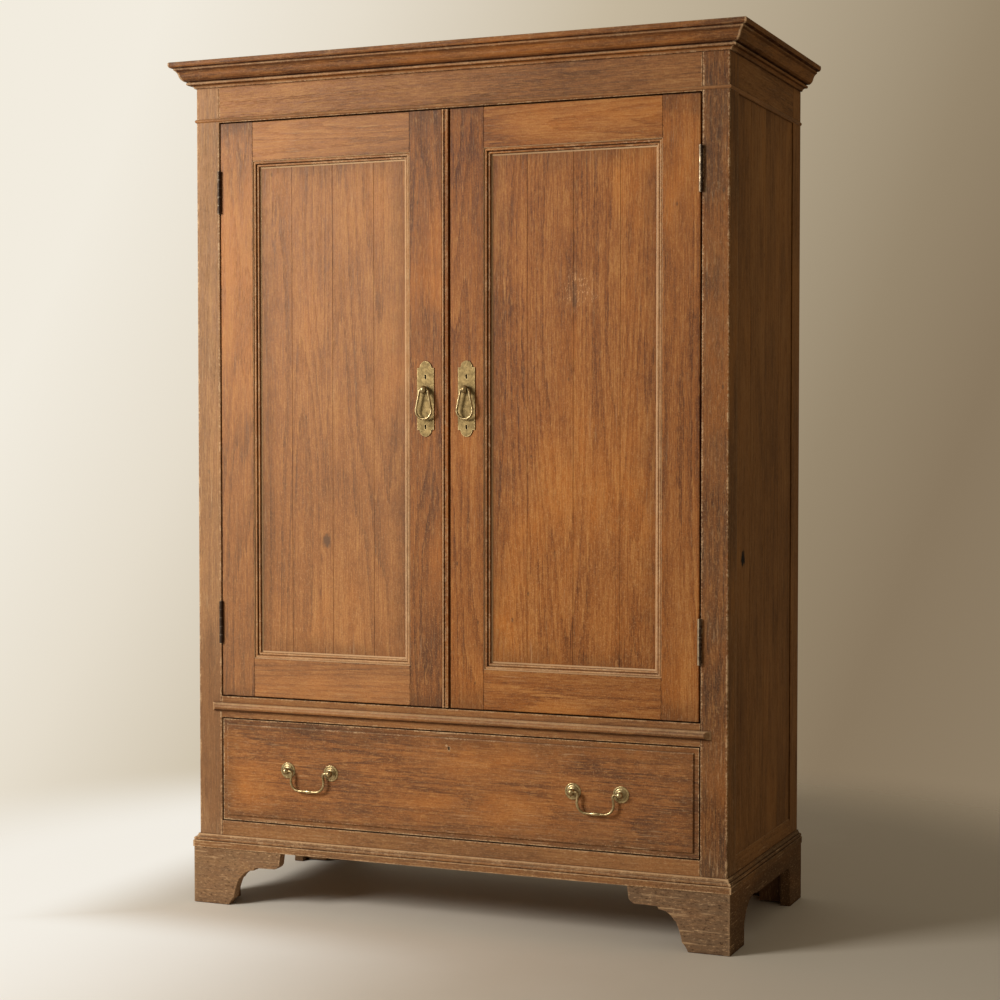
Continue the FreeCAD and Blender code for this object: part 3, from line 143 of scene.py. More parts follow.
def blend(tree, amount, first, second):
    made = add(tree, "Mix", data_type="RGBA", blend_type="MIX", clamp_factor=True)
    for socket, value in zip((made.inputs[0], made.inputs[6], made.inputs[7]), (amount, first, second)):
        feed(tree, socket, value)
    return made.outputs[2]


def group(name, inputs, outputs):
    """An empty node group with named sockets: inputs as name: (kind, start), outputs as name: kind."""
    tree = bpy.data.node_groups.new(name, "ShaderNodeTree")
    kinds = {"Float": "NodeSocketFloat", "Vector": "NodeSocketVector", "Color": "NodeSocketColor"}
    for label, (kind, start) in inputs.items():
        socket = tree.interface.new_socket(name=label, in_out="INPUT", socket_type=kinds[kind])
        if start is not None:
            socket.default_value = start
    for label, kind in outputs.items():
        tree.interface.new_socket(name=label, in_out="OUTPUT", socket_type=kinds[kind])
    return tree, tree.nodes.new("NodeGroupInput").outputs, tree.nodes.new("NodeGroupOutput").inputs


def use(tree, made_group, **values):
    """A group placed in a material or another group, with spaces in its socket names written as underscores."""
    made = tree.nodes.new("ShaderNodeGroup")
    made.node_tree = made_group
    for label, value in values.items():
        feed(tree, made.inputs[label.replace("_", " ")], value)
    return made.outputs


# Effects that several finishes share

def make_grain_place():
    """Stretches a place along the grain, and moves it for each board."""
    tree, given, out = group("grain_place", {
        "Place": ("Vector", None), "Axis": ("Vector", None), "Seed": ("Float", None),
        "Across": ("Float", None), "Along": ("Float", None)}, {"Place": "Vector"})
    along = vectors(tree, "DOT_PRODUCT", given["Place"], given["Axis"])
    pull = sums(tree, "MULTIPLY", along, sums(tree, "SUBTRACT", given["Along"], given["Across"]))
    stretched = vectors(tree, "ADD", scaled(tree, given["Place"], given["Across"]),
                        scaled(tree, given["Axis"], pull))
    shift = add(tree, "CombineXYZ", *(sums(tree, "MULTIPLY", given["Seed"], step) for step in (137.0, 71.0, 53.0)))
    tree.links.new(vectors(tree, "ADD", stretched, shift.outputs[0]), out["Place"])
    return tree


def make_wood_grain(grain_place):
    """Rings, streaks, open pores, pin knots, flecks and mottling of a board whose grain runs along Axis."""
    parts = ("Rings", "Streak", "Pores", "Mottle", "Blotch", "Fleck", "Speckle", "Knots", "Pale Dots", "Dark Dots")
    tree, given, out = group("wood_grain", {
        "Place": ("Vector", None), "Axis": ("Vector", None), "Seed": ("Float", None)},
        {part: "Float" for part in parts})

    def along(across, length):
        return use(tree, grain_place, Place=given["Place"], Axis=given["Axis"], Seed=given["Seed"],
                   Across=across, Along=length)["Place"]

    long_lines = cloud(tree, along(290.0, 7.0), 1.0, 3.0, 0.62)
    short_lines = cloud(tree, along(310.0, 38.0), 1.0, 3.0, 0.62)
    streak = sums(tree, "ADD", sums(tree, "MULTIPLY", long_lines, 0.55), sums(tree, "MULTIPLY", short_lines, 0.45))
    figure = cloud(tree, along(9.0, 0.6), 1.0, 1.5, 0.4, 0.25)
    ragged = sums(tree, "ADD", sums(tree, "MULTIPLY", figure, 15.0), sums(tree, "MULTIPLY", streak, 0.5))
    rings = spread(tree, sums(tree, "FRACT", ragged), 0.25, 1.0, soft=True)
    pores = cloud(tree, along(560.0, 52.0), 1.0, 1.0, 0.5)
    pores = spread(tree, pores, 0.53, 0.66, soft=True)
    pores = sums(tree, "MULTIPLY", pores, spread(tree, rings, 0.0, 1.0, 0.45, 1.0))
    fleck = cloud(tree, along(320.0, 46.0), 1.0, 2.0, 0.6)
    cells = add(tree, "TexVoronoi", along(22.0, 11.0))
    cells.inputs["Scale"].default_value = 1.0
    chosen = sums(tree, "GREATER_THAN", add(tree, "SeparateColor", cells.outputs["Color"]).outputs[0], 0.72)
    knots = sums(tree, "MULTIPLY", spread(tree, cells.outputs["Distance"], 0.085, 0.03, soft=True), chosen)
    tree.links.new(rings, out["Rings"])
    tree.links.new(streak, out["Streak"])
    tree.links.new(pores, out["Pores"])
    tree.links.new(cloud(tree, along(20.0, 8.0), 1.0, 3.0, 0.55, 0.2), out["Mottle"])
    tree.links.new(cloud(tree, along(4.5, 1.8), 1.0, 3.0, 0.55, 0.3), out["Blotch"])
    tree.links.new(spread(tree, fleck, 0.54, 0.70, soft=True), out["Fleck"])
    tree.links.new(cloud(tree, given["Place"], 270.0, 2.0, 0.6), out["Speckle"])
    tree.links.new(knots, out["Knots"])
    dots = cloud(tree, given["Place"], 350.0, 1.5, 0.5)
    tree.links.new(spread(tree, dots, 0.58, 0.72, soft=True), out["Pale Dots"])
    tree.links.new(spread(tree, dots, 0.42, 0.29, soft=True), out["Dark Dots"])
    return tree


def make_board_colour(wood_grain):
    """The stained colour of a board, with its relief and how dull it is."""
    tree, given, out = group("board_colour", {
        "Place": ("Vector", None), "Axis": ("Vector", None), "Seed": ("Float", None), "Tone": ("Float", None),
        "Ringing": ("Float", None), "Streaking": ("Float", None), "Blotching": ("Float", None),
        "Open Pores": ("Float", None), "Knotting": ("Float", None), "Peppering": ("Float", None),
        "Dark": ("Color", None), "Middle": ("Color", None), "Light": ("Color", None), "Glow": ("Color", None)},
        {"Colour": "Color", "Relief": "Float", "Dullness": "Float"})
    grain = use(tree, wood_grain, Place=given["Place"], Axis=given["Axis"], Seed=given["Seed"])

    def swing(value, amount):
        return sums(tree, "MULTIPLY", sums(tree, "SUBTRACT", value, 0.5), amount)

    shade = sums(tree, "ADD", given["Tone"], 0.5)
    for part in (swing(grain["Streak"], given["Streaking"]), swing(grain["Mottle"], 0.4),
                 swing(grain["Blotch"], given["Blotching"]), swing(grain["Speckle"], 0.45)):
        shade = sums(tree, "ADD", shade, part)
    shade = sums(tree, "SUBTRACT", shade, swing(grain["Rings"], given["Ringing"]))
    colour = blend(tree, spread(tree, shade, 0.02, 0.5), given["Dark"], given["Middle"])
    colour = blend(tree, spread(tree, shade, 0.5, 1.0), colour, given["Light"])
    glow = sums(tree, "MULTIPLY", spread(tree, grain["Blotch"], 0.46, 0.66, soft=True),
                spread(tree, grain["Mottle"], 0.35, 0.65, 0.25, 0.85))
    colour = blend(tree, glow, colour, blend(tree, 0.6, colour, given["Glow"]))
    pores = sums(tree, "MULTIPLY", grain["Pores"], given["Open Pores"])
    colour = blend(tree, pores, colour, blend(tree, 0.72, colour, PORE))
    flecks = sums(tree, "MULTIPLY", grain["Fleck"], sums(tree, "MULTIPLY", given["Streaking"], 0.38))
    colour = blend(tree, flecks, colour, blend(tree, 0.55, colour, given["Light"]))
    colour = blend(tree, sums(tree, "MULTIPLY", grain["Knots"], given["Knotting"]), colour, KNOT)
    for dots, to in (("Pale Dots", PALE_DOT), ("Dark Dots", DARK_DOT)):
        colour = blend(tree, sums(tree, "MULTIPLY", grain[dots], given["Peppering"]), colour, to)
    relief = sums(tree, "SUBTRACT", sums(tree, "MULTIPLY", grain["Streak"], 0.6), sums(tree, "MULTIPLY", pores, 0.9))
    dull = sums(tree, "ADD", spread(tree, grain["Streak"], 0.3, 0.7, 0.44, 0.58), sums(tree, "MULTIPLY", pores, 0.2))
    tree.links.new(colour, out["Colour"])
    tree.links.new(relief, out["Relief"])
    tree.links.new(dull, out["Dullness"])
    return tree


def make_worn_edges():
    """How far an outer edge has been rubbed, broken up so that no two edges wear alike."""
    tree, given, out = group("worn_edges", {
        "Place": ("Vector", None), "Reach": ("Float", None), "Seed": ("Float", 0.0), "Ridge": ("Float", 0.0)},
        {"Wear": "Float"})
    inside = add(tree, "AmbientOcclusion", samples=6, inside=True, only_local=True)
    feed(tree, inside.inputs["Distance"], given["Reach"])
    edge = sums(tree, "SUBTRACT", 1.0, inside.outputs["AO"])
    moved = vectors(tree, "ADD", given["Place"],
                    add(tree, "CombineXYZ", given["Seed"], given["Seed"], given["Seed"]).outputs[0])
    patches = spread(tree, cloud(tree, moved, 26.0, 4.0, 0.65), 0.36, 0.66)
    nicks = spread(tree, cloud(tree, moved, 190.0, 2.0, 0.6), 0.42, 0.6)
    broken = sums(tree, "ADD", sums(tree, "MULTIPLY", patches, 0.65), sums(tree, "MULTIPLY", nicks, 0.55))
    ragged = sums(tree, "ADD", edge, sums(tree, "MULTIPLY", sums(tree, "SUBTRACT", broken, 0.62), 0.55))
    rubbed = sums(tree, "MULTIPLY", spread(tree, ragged, 0.20, 0.36, soft=True), spread(tree, edge, 0.03, 0.12))
    gaps = sums(tree, "ADD", sums(tree, "MULTIPLY", broken, 0.6), 0.4)
    ridge = sums(tree, "MULTIPLY", given["Ridge"], gaps, clamp=True)
    tree.links.new(sums(tree, "MAXIMUM", rubbed, ridge), out["Wear"])
    return tree


def make_settled_dirt():
    """Dirt and old polish, with painted shade from ambient occlusion: dark lines in quirks and gaps, and a softer
    painted shade that spreads from them.
    """
    tree, given, out = group("settled_dirt", {
        "Place": ("Vector", None), "Reach": ("Float", None), "Quirk": ("Float", 0.0), "Grime": ("Float", 1.0)},
        {"Dirt And Shade": "Float"})

    def corner(share):
        around = add(tree, "AmbientOcclusion", samples=6)
        feed(tree, around.inputs["Distance"], sums(tree, "MULTIPLY", given["Reach"], share))
        return sums(tree, "SUBTRACT", 1.0, around.outputs["AO"])

    line = spread(tree, corner(0.25), 0.16, 0.56, soft=True)
    shade = spread(tree, corner(1.0), 0.14, 0.8, 0.0, 0.7)
    patches = spread(tree, cloud(tree, given["Place"], 38.0, 3.0, 0.6), 0.3, 0.7, 0.6, 1.1)
    found = sums(tree, "MULTIPLY", sums(tree, "MAXIMUM", line, shade), given["Grime"])
    dirt = sums(tree, "MULTIPLY", sums(tree, "MAXIMUM", found, given["Quirk"]), patches, clamp=True)
    tree.links.new(dirt, out["Dirt And Shade"])
    return tree


def make_scuffs(grain_place):
    """Scratches, pale specks and dark pits from years of use, where they gather, and how near the floor is."""
    tree, given, out = group("scuffs", {
        "Place": ("Vector", None), "Axis": ("Vector", None), "Seed": ("Float", None)},
        {"Scratches": "Float", "Specks": "Float", "Pits": "Float", "Patches": "Float", "Low": "Float"})

    def along(across, length):
        return use(tree, grain_place, Place=given["Place"], Axis=given["Axis"], Seed=given["Seed"],
                   Across=across, Along=length)["Place"]

    lines = spread(tree, cloud(tree, along(240.0, 9.0), 1.0, 2.0, 0.55, 0.3), 0.62, 0.70, soft=True)
    coarse = cloud(tree, along(290.0, 105.0), 1.0, 3.0, 0.65)
    specks = spread(tree, coarse, 0.55, 0.72, soft=True)
    pits = spread(tree, coarse, 0.44, 0.32, soft=True)
    patches = spread(tree, cloud(tree, given["Place"], 11.0, 3.0, 0.6), 0.40, 0.62)
    height = add(tree, "SeparateXYZ", given["Place"]).outputs["Z"]
    tree.links.new(sums(tree, "MULTIPLY", lines, patches), out["Scratches"])
    tree.links.new(specks, out["Specks"])
    tree.links.new(pits, out["Pits"])
    tree.links.new(patches, out["Patches"])
    tree.links.new(spread(tree, height, 0.30, 0.03, soft=True), out["Low"])
    return tree


def make_rim_toning():
    """How near a place is to the rim of its own board, with a ragged border."""
    tree, given, out = group("rim_toning", {
        "Place": ("Vector", None), "Low": ("Vector", None), "High": ("Vector", None)}, {"Toning": "Float"})
    nearest = vectors(tree, "MINIMUM", vectors(tree, "SUBTRACT", given["Place"], given["Low"]),
                      vectors(tree, "SUBTRACT", given["High"], given["Place"]))
    parts = add(tree, "SeparateXYZ", nearest).outputs
    inward = sums(tree, "MINIMUM", sums(tree, "MINIMUM", parts[0], parts[1]), parts[2])
    ragged = cloud(tree, given["Place"], 17.0, 4.0, 0.62)
    inward = sums(tree, "ADD", inward, sums(tree, "MULTIPLY", sums(tree, "SUBTRACT", ragged, 0.5), 0.11))
    tree.links.new(spread(tree, inward, RIM_REACH, -0.01, soft=True), out["Toning"])
    return tree


def make_single_mark():
    """One mark with a ragged border, round Centre, as far each way as Size."""
    tree, given, out = group("single_mark", {
        "Place": ("Vector", None), "Centre": ("Vector", None), "Size": ("Vector", None)}, {"Mask": "Float"})
    away = vectors(tree, "DIVIDE", vectors(tree, "SUBTRACT", given["Place"], given["Centre"]), given["Size"])
    ragged = sums(tree, "MULTIPLY", sums(tree, "SUBTRACT", cloud(tree, away, 2.0, 3.0, 0.6), 0.5), 1.1)
    far = sums(tree, "ADD", vectors(tree, "LENGTH", away), ragged)
    tree.links.new(spread(tree, far, 1.0, 0.4, soft=True), out["Mask"])
    return tree


def make_shelf_dust():
    """Old dust on surfaces that face up."""
    tree, given, out = group("shelf_dust", {"Place": ("Vector", None)}, {"Dust": "Float"})
    upward = add(tree, "SeparateXYZ", add(tree, "NewGeometry").outputs["Normal"]).outputs["Z"]
    patches = spread(tree, cloud(tree, given["Place"], 45.0, 4.0, 0.65), 0.3, 0.62)
    tree.links.new(sums(tree, "MULTIPLY", spread(tree, upward, 0.2, 0.85, soft=True), patches), out["Dust"])
    return tree


GRAIN_PLACE = make_grain_place()
WOOD_GRAIN = make_wood_grain(GRAIN_PLACE)
BOARD_COLOUR = make_board_colour(WOOD_GRAIN)
WORN_EDGES = make_worn_edges()
DIRT_AND_OCCLUSION_SHADE = make_settled_dirt()
SCUFFS = make_scuffs(GRAIN_PLACE)
RIM_TONING = make_rim_toning()
SINGLE_MARK = make_single_mark()
SHELF_DUST = make_shelf_dust()


# Finishes

def new_finish(name):
    made = bpy.data.materials.new(name)
    made.use_nodes = True
    tree = made.node_tree
    tree.nodes.clear()
    shader = tree.nodes.new("ShaderNodeBsdfPrincipled")
    end = tree.nodes.new("ShaderNodeOutputMaterial")
    tree.links.new(shader.outputs[0], end.inputs["Surface"])
    place = tree.nodes.new("ShaderNodeTexCoord").outputs["Object"]
    return made, tree, shader.inputs, place


def relief_on(tree, shader, height, depth, strength):
    bump = tree.nodes.new("ShaderNodeBump")
    bump.inputs["Strength"].default_value = strength
    bump.inputs["Distance"].default_value = depth
    tree.links.new(height, bump.inputs["Height"])
    tree.links.new(bump.outputs[0], shader["Normal"])


def attribute(tree, name, output):
    return add(tree, "Attribute", attribute_name=name, attribute_type="GEOMETRY").outputs[output]


def wood_finish(name, dark, middle, light, glow, pores=0.32, ringing=0.10, streaking=1.6, dirt=0.92, reach=0.016,
                dryness=0.6, dull=0.0, sheen=0.22, rubbed_to=None, peppering=0.3, stains_and_shade=()):
    """Waxed or bare wood. What each board says of itself comes from its faces, and stains and marks of painted shade
    lie on top.
    """
    made, tree, shader, place = new_finish(name)
    axis = attribute(tree, "grain_axis", "Vector")
    seed = attribute(tree, "board_seed", "Fac")
    tone = attribute(tree, "board_tone", "Fac")
    wear = attribute(tree, "board_wear", "Fac")
    figure = sums(tree, "MULTIPLY", attribute(tree, "board_figure", "Fac"), streaking)
    height = add(tree, "SeparateXYZ", place).outputs["Z"]
    board = use(tree, BOARD_COLOUR, Place=place, Axis=axis, Seed=seed, Tone=tone, Ringing=ringing,
                Streaking=figure, Blotching=BLOTCHING, Open_Pores=pores, Knotting=KNOTTING,
                Peppering=spread(tree, height, 1.5, 0.5, 0.45 * peppering, peppering),
                Dark=dark, Middle=middle, Light=light, Glow=glow)
    scuffs = use(tree, SCUFFS, Place=place, Axis=axis, Seed=seed)
    rubbed = use(tree, WORN_EDGES, Place=place, Seed=seed, Reach=attribute(tree, "wear_reach", "Fac"),
                 Ridge=attribute(tree, "ridge_wear_and_highlight", "Fac"))["Wear"]
    gathered_dirt_and_shade = use(tree, DIRT_AND_OCCLUSION_SHADE, Place=place, Reach=reach, Quirk=attribute(tree, "quirk_dirt", "Fac"),
                  Grime=attribute(tree, "board_grime_and_shade", "Fac"))["Dirt And Shade"]
    rim = use(tree, RIM_TONING, Place=place, Low=attribute(tree, "field_low", "Vector"),
              High=attribute(tree, "field_high", "Vector"))["Toning"]
    dust = use(tree, SHELF_DUST, Place=place)["Dust"]
    colour = board["Colour"]
    # Boards paled towards a faded colour: sun-fading and a painted sheen of the window's light.
    faded_and_sheen = blend(tree, 0.5, colour, FADED_AND_SHEEN)
    colour = blend(tree, attribute(tree, "board_fade_and_sheen", "Fac"), colour, faded_and_sheen)
    toning = sums(tree, "MULTIPLY", rim, attribute(tree, "board_rim", "Fac"))
    colour = blend(tree, toning, colour, blend(tree, 0.62, colour, RIM_SHADE))
    worn_out = sums(tree, "MULTIPLY", attribute(tree, "board_dry", "Fac"),
                    spread(tree, scuffs["Patches"], 0.0, 1.0, 0.45, 1.0))
    low = sums(tree, "ADD", sums(tree, "MULTIPLY", scuffs["Low"], dryness), worn_out, clamp=True)
    colour = blend(tree, low, colour, blend(tree, 0.55, colour, DRY_WOOD))
    colour = blend(tree, sums(tree, "MULTIPLY", dust, DUSTING), colour, OLD_DUST)
    colour = blend(tree, sums(tree, "MULTIPLY", scuffs["Pits"], sums(tree, "MULTIPLY", low, 0.75)), colour, PIT)
    ease = sums(tree, "ADD", sums(tree, "MULTIPLY", low, 0.7), sums(tree, "MULTIPLY", toning, 0.3))
    marks = sums(tree, "ADD", scuffs["Scratches"], sums(tree, "MULTIPLY", scuffs["Specks"], 0.6))
    marks = sums(tree, "MULTIPLY", marks, sums(tree, "ADD", ease, 0.10), clamp=True)
    colour = blend(tree, marks, colour, BARE_WOOD_AND_HIGHLIGHT)
    for centre, size, mark, strength, speckled in stains_and_shade:
        mask = use(tree, SINGLE_MARK, Place=place, Centre=centre, Size=size)["Mask"]
        mask = sums(tree, "MULTIPLY", mask, strength)
        if speckled:
            mask = sums(tree, "MULTIPLY", mask, sums(tree, "MULTIPLY_ADD", scuffs["Specks"], 2.0, 0.10), clamp=True)
        colour = blend(tree, mask, colour, mark)
    if rubbed_to is not None:
        back = add(tree, "SeparateXYZ", place).outputs["Y"]
        wear = sums(tree, "MULTIPLY", wear, spread(tree, back, rubbed_to, rubbed_to + 0.03, 1.0, 0.1))
    # Dirt and painted shade in quirks, gaps and corners, darkened towards soot.
    colour = blend(tree, sums(tree, "MULTIPLY", gathered_dirt_and_shade, dirt), colour, SOOT_AND_SHADE)
    # Rubbed arrises and ridges paled towards bare wood; on some mouldings the ridges' paling is painted highlight.
    colour = blend(tree, sums(tree, "MULTIPLY", rubbed, wear), colour, BARE_WOOD_AND_HIGHLIGHT)
    # Wear below nought darkens the arrises: grubby, and painted shade at the gaps beside them.
    grubby_and_shaded_arris = sums(tree, "MULTIPLY", rubbed, sums(tree, "MULTIPLY", wear, -1.0), clamp=True)
    colour = blend(tree, grubby_and_shaded_arris, colour, SOOT_AND_SHADE)
    tree.links.new(colour, shader["Base Color"])
    matt = sums(tree, "ADD", board["Dullness"], sums(tree, "MULTIPLY", gathered_dirt_and_shade, 0.3))
    matt = sums(tree, "ADD", matt, sums(tree, "MULTIPLY", low, 0.25))
    tree.links.new(sums(tree, "ADD", matt, dull, clamp=True), shader["Roughness"])
    shader["Specular IOR Level"].default_value = sheen
    relief_on(tree, shader, board["Relief"], 0.0008, 0.6)
    return made


def brass_finish(name, bright, middle, dark, dull, metal):
    made, tree, shader, place = new_finish(name)
    tarnish = cloud(tree, place, 85.0, 5.0, 0.66, 0.5)
    spots = spread(tree, cloud(tree, place, 520.0, 2.0, 0.5), 0.56, 0.7, soft=True)
    gathered_dirt_and_shade = use(tree, DIRT_AND_OCCLUSION_SHADE, Place=place, Reach=0.008, Grime=1.7)["Dirt And Shade"]
    rubbed = use(tree, WORN_EDGES, Place=place, Reach=0.0016)["Wear"]
    colour = blend(tree, spread(tree, tarnish, 0.34, 0.66), middle, bright)
    colour = blend(tree, sums(tree, "MULTIPLY", spots, 0.45), colour, dark)
    colour = blend(tree, sums(tree, "MULTIPLY", gathered_dirt_and_shade, 0.95), colour, BRASS_DIRT)
    colour = blend(tree, sums(tree, "MULTIPLY", rubbed, 0.55), colour, RUBBED_BRASS)
    tree.links.new(colour, shader["Base Color"])
    tree.links.new(spread(tree, gathered_dirt_and_shade, 0.0, 1.0, metal, 0.1), shader["Metallic"])
    tree.links.new(spread(tree, tarnish, 0.3, 0.7, dull + 0.1, dull - 0.06), shader["Roughness"])
    relief_on(tree, shader, sums(tree, "ADD", tarnish, sums(tree, "MULTIPLY", spots, -0.4)), 0.0005, 0.4)
    return made


def iron_finish(name, bright):
    made, tree, shader, place = new_finish(name)
    rust = cloud(tree, place, 60.0, 5.0, 0.65, 0.3)
    pits = cloud(tree, place, 620.0, 2.0, 0.5)
    rubbed = use(tree, WORN_EDGES, Place=place, Reach=0.0014)["Wear"]
    gathered_dirt_and_shade = use(tree, DIRT_AND_OCCLUSION_SHADE, Place=place, Reach=0.006)["Dirt And Shade"]
    # Painted shade: the hinges to the left are darker, and faces turned to +X, away from the window, darken; rust is
    # added on top.
    over = add(tree, "SeparateXYZ", place).outputs["X"]
    turned = add(tree, "SeparateXYZ", tree.nodes.new("ShaderNodeTexCoord").outputs["Normal"]).outputs["X"]
    shaded = sums(tree, "ADD", spread(tree, over, -0.2, 0.2, 0.75, 0.0), spread(tree, turned, -0.1, 0.35, 0.0, 0.85))
    rust_and_painted_shade = sums(tree, "ADD", shaded, spread(tree, rust, 0.44, 0.68, 0.0, 0.7), clamp=True)
    colour = blend(tree, rust_and_painted_shade, bright, RUST_AND_SHADE)
    colour = blend(tree, sums(tree, "MULTIPLY", rubbed, 0.5), colour, RUBBED_IRON)
    colour = blend(tree, sums(tree, "MULTIPLY", gathered_dirt_and_shade, 0.8), colour, IRON_DIRT)
    tree.links.new(colour, shader["Base Color"])
    tree.links.new(spread(tree, rust, 0.35, 0.65, 0.9, 0.4), shader["Metallic"])
    tree.links.new(spread(tree, rust, 0.35, 0.65, 0.3, 0.55), shader["Roughness"])
    relief_on(tree, shader, pits, 0.0004, 0.3)
    return made


# Marks that can be told one by one, stains and painted shade: middle, reach, colour, strength, and whether the grain
# breaks it up
# Painted shade on the stile behind the slots of the pull plates.
SHADE_BEHIND_SLOT = ((0.008, 0.01, 0.012), tint(20, 12, 6), 1.0, False)
DOOR_STAINS_AND_SHADE = (
    ((0.302, -0.257, 1.405), (0.064, 0.009, 0.064), tint(216, 164, 114), 1.0, True),
    ((0.2905, -0.257, 1.392), (0.009, 0.009, 0.045), tint(100, 66, 40), 0.8, False),
    ((-0.3104, -0.253, 0.8522), (0.014, 0.03, 0.021), tint(98, 76, 60), 0.8, False),
    # Painted shade inside the keyhole.
    ((0.0, -0.268, 0.3985), (0.0045, 0.05, 0.007), tint(16, 9, 5), 1.0, False),
    ((-0.006, -0.268, 0.4045), (0.004, 0.05, 0.0035), tint(206, 170, 128), 0.7, False),
    *(((x, -0.266, z), *SHADE_BEHIND_SLOT) for x in (-0.056, 0.043) for z in (1.2228, 1.1101)))
# Painted shade: the left post darker towards the floor.
CARCASE_LOW_SHADE = (((-0.612, -0.275, 0.36), (0.075, 0.06, 0.34), tint(104, 62, 27), 0.42, False),)
SIDE_STAINS = (((0.637, -0.1451, 0.8282), (0.03, 0.02, 0.022), tint(14, 8, 4), 1.0, False),)

CARCASE = wood_finish("carcase_wood", tint(76, 40, 15), tint(142, 88, 41), tint(188, 137, 80), tint(172, 100, 32),
                      pores=0.45, rubbed_to=-0.25, stains_and_shade=CARCASE_LOW_SHADE)
DOOR = wood_finish("door_wood", tint(88, 43, 13), tint(158, 95, 41), tint(202, 145, 82), tint(192, 112, 32),
                   ringing=0.2, stains_and_shade=DOOR_STAINS_AND_SHADE)
SIDE = wood_finish("side_wood", tint(80, 49, 23), tint(144, 99, 55), tint(178, 134, 85), tint(166, 108, 50),
                   pores=0.45, streaking=1.1, sheen=0.04, dull=0.15, rubbed_to=-0.25, peppering=0.08,
                   stains_and_shade=SIDE_STAINS)
INNER = wood_finish("inner_wood", tint(112, 78, 48), tint(166, 126, 84), tint(200, 164, 120), tint(182, 136, 84),
                    dirt=0.7, reach=0.04, dryness=0.0, dull=0.2, peppering=0.12)
BRASS = brass_finish("aged_brass", tint(148, 126, 82), tint(112, 94, 58), tint(54, 42, 22), 0.52, 0.7)
HANDLED_BRASS = brass_finish("handled_brass", tint(198, 178, 136), tint(118, 98, 62), tint(46, 34, 17), 0.30, 0.95)
IRON = iron_finish("dark_iron", tint(176, 156, 128))
LOCK_IRON = iron_finish("lock_iron", tint(46, 38, 32))


# Boards with worn arrises, each made from its solid

def islands(mesh_faces):
    """Faces sorted into the separate solids that they belong to, found in the faces' own order on every run."""
    left = set(mesh_faces)
    found = []
    for start in mesh_faces:
        if start not in left:
            continue
        left.remove(start)
        one, edge = [start], [start]
        while edge:
            face = edge.pop()
            for line in face.edges:
                for other in line.link_faces:
                    if other in left:
                        left.remove(other)
                        one.append(other)
                        edge.append(other)
        found.append(one)
    return found


def longest_way(faces):
    corners = [corner.co for face in faces for corner in face.verts]
    runs = [max(c[i] for c in corners) - min(c[i] for c in corners) for i in range(3)]
    way = [0.0, 0.0, 0.0]
    way[runs.index(max(runs))] = 1.0
    return way


def round_three_sides(front):
    """For a bead that goes round the front and both sides."""
    def way_of(faces):
        middle = faces[0].calc_center_median()
        return [1.0, 0.0, 0.0] if middle.y < front else [0.0, 1.0, 0.0]
    return way_of


def write_attribute(mesh, name, kind, values):
    made = mesh.attributes.new(name, kind, "FACE")
    key = "vector" if kind == "FLOAT_VECTOR" else "value"
    made.data.foreach_set(key, values)


def rim_of(low, high, inset, ends_only):
    """The rim of a board's face, drawn in by inset. Across the thickness, and the width too for ends, it is far off."""
    runs = [high[i] - low[i] for i in range(3)]
    order = sorted(range(3), key=runs.__getitem__)
    opened = order[:2] if ends_only else order[:1]
    return ([low[i] - 1.0 if i in opened else low[i] + inset for i in range(3)],
            [high[i] + 1.0 if i in opened else high[i] - inset for i in range(3)])


def lines_of(shape, low, high, lines):
    """Dirt and wear of each face of a moulding, in places painted shade and highlight, from where the face lies across
    the moulding.
    """
    axis, table = lines
    quirks, ridges = [], []
    for face in shape.faces:
        share = (face.calc_center_median()[axis] - low[axis]) / (high[axis] - low[axis])
        found = [row for row in table if row[0] <= share <= row[1]]
        quirks.append(max((row[2] for row in found), default=0.0))
        ridges.append(max((row[3] for row in found), default=0.0))
    return quirks, ridges


def dress_board(mesh, node, finish, axes, seeds, tones, quirks, ridges, wear, reach, rim, dry, field,
                fade, grime_and_shade, figure=1.0, rounded=True):
    """The piece that stands for a node: what its finish reads from each face, and the body that it rides on.

    Wear above nought rubs the arrises pale, and below nought darkens them: grubby arrises, and painted shade at the
    gaps beside them.
    """
    count = len(mesh.polygons)
    for name, values in (("board_seed", seeds), ("board_tone", tones), ("quirk_dirt", quirks), ("ridge_wear_and_highlight", ridges)):
        write_attribute(mesh, name, "FLOAT", values)
    for name, level in (("board_wear", wear), ("wear_reach", reach), ("board_rim", rim), ("board_dry", dry),
                        ("board_fade_and_sheen", fade), ("board_grime_and_shade", grime_and_shade), ("board_figure", figure)):
        write_attribute(mesh, name, "FLOAT", [level] * count)
    for name, values in (("grain_axis", axes), ("field_low", field[0] * count), ("field_high", field[1] * count)):
        write_attribute(mesh, name, "FLOAT_VECTOR", values)
    mesh.materials.clear()
    mesh.materials.append(finish)
    piece = bpy.data.objects.new(node + "_worn", mesh)
    bpy.context.scene.collection.objects.link(piece)
    if rounded:
        mesh.shade_smooth()
        mesh.set_sharp_from_angle(angle=SHARP_FROM)
        even = piece.modifiers.new("even_faces", "WEIGHTED_NORMAL")
        even.keep_sharp = True
    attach(piece, frame["nodes"][node]["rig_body"])
    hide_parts(node)
    return piece


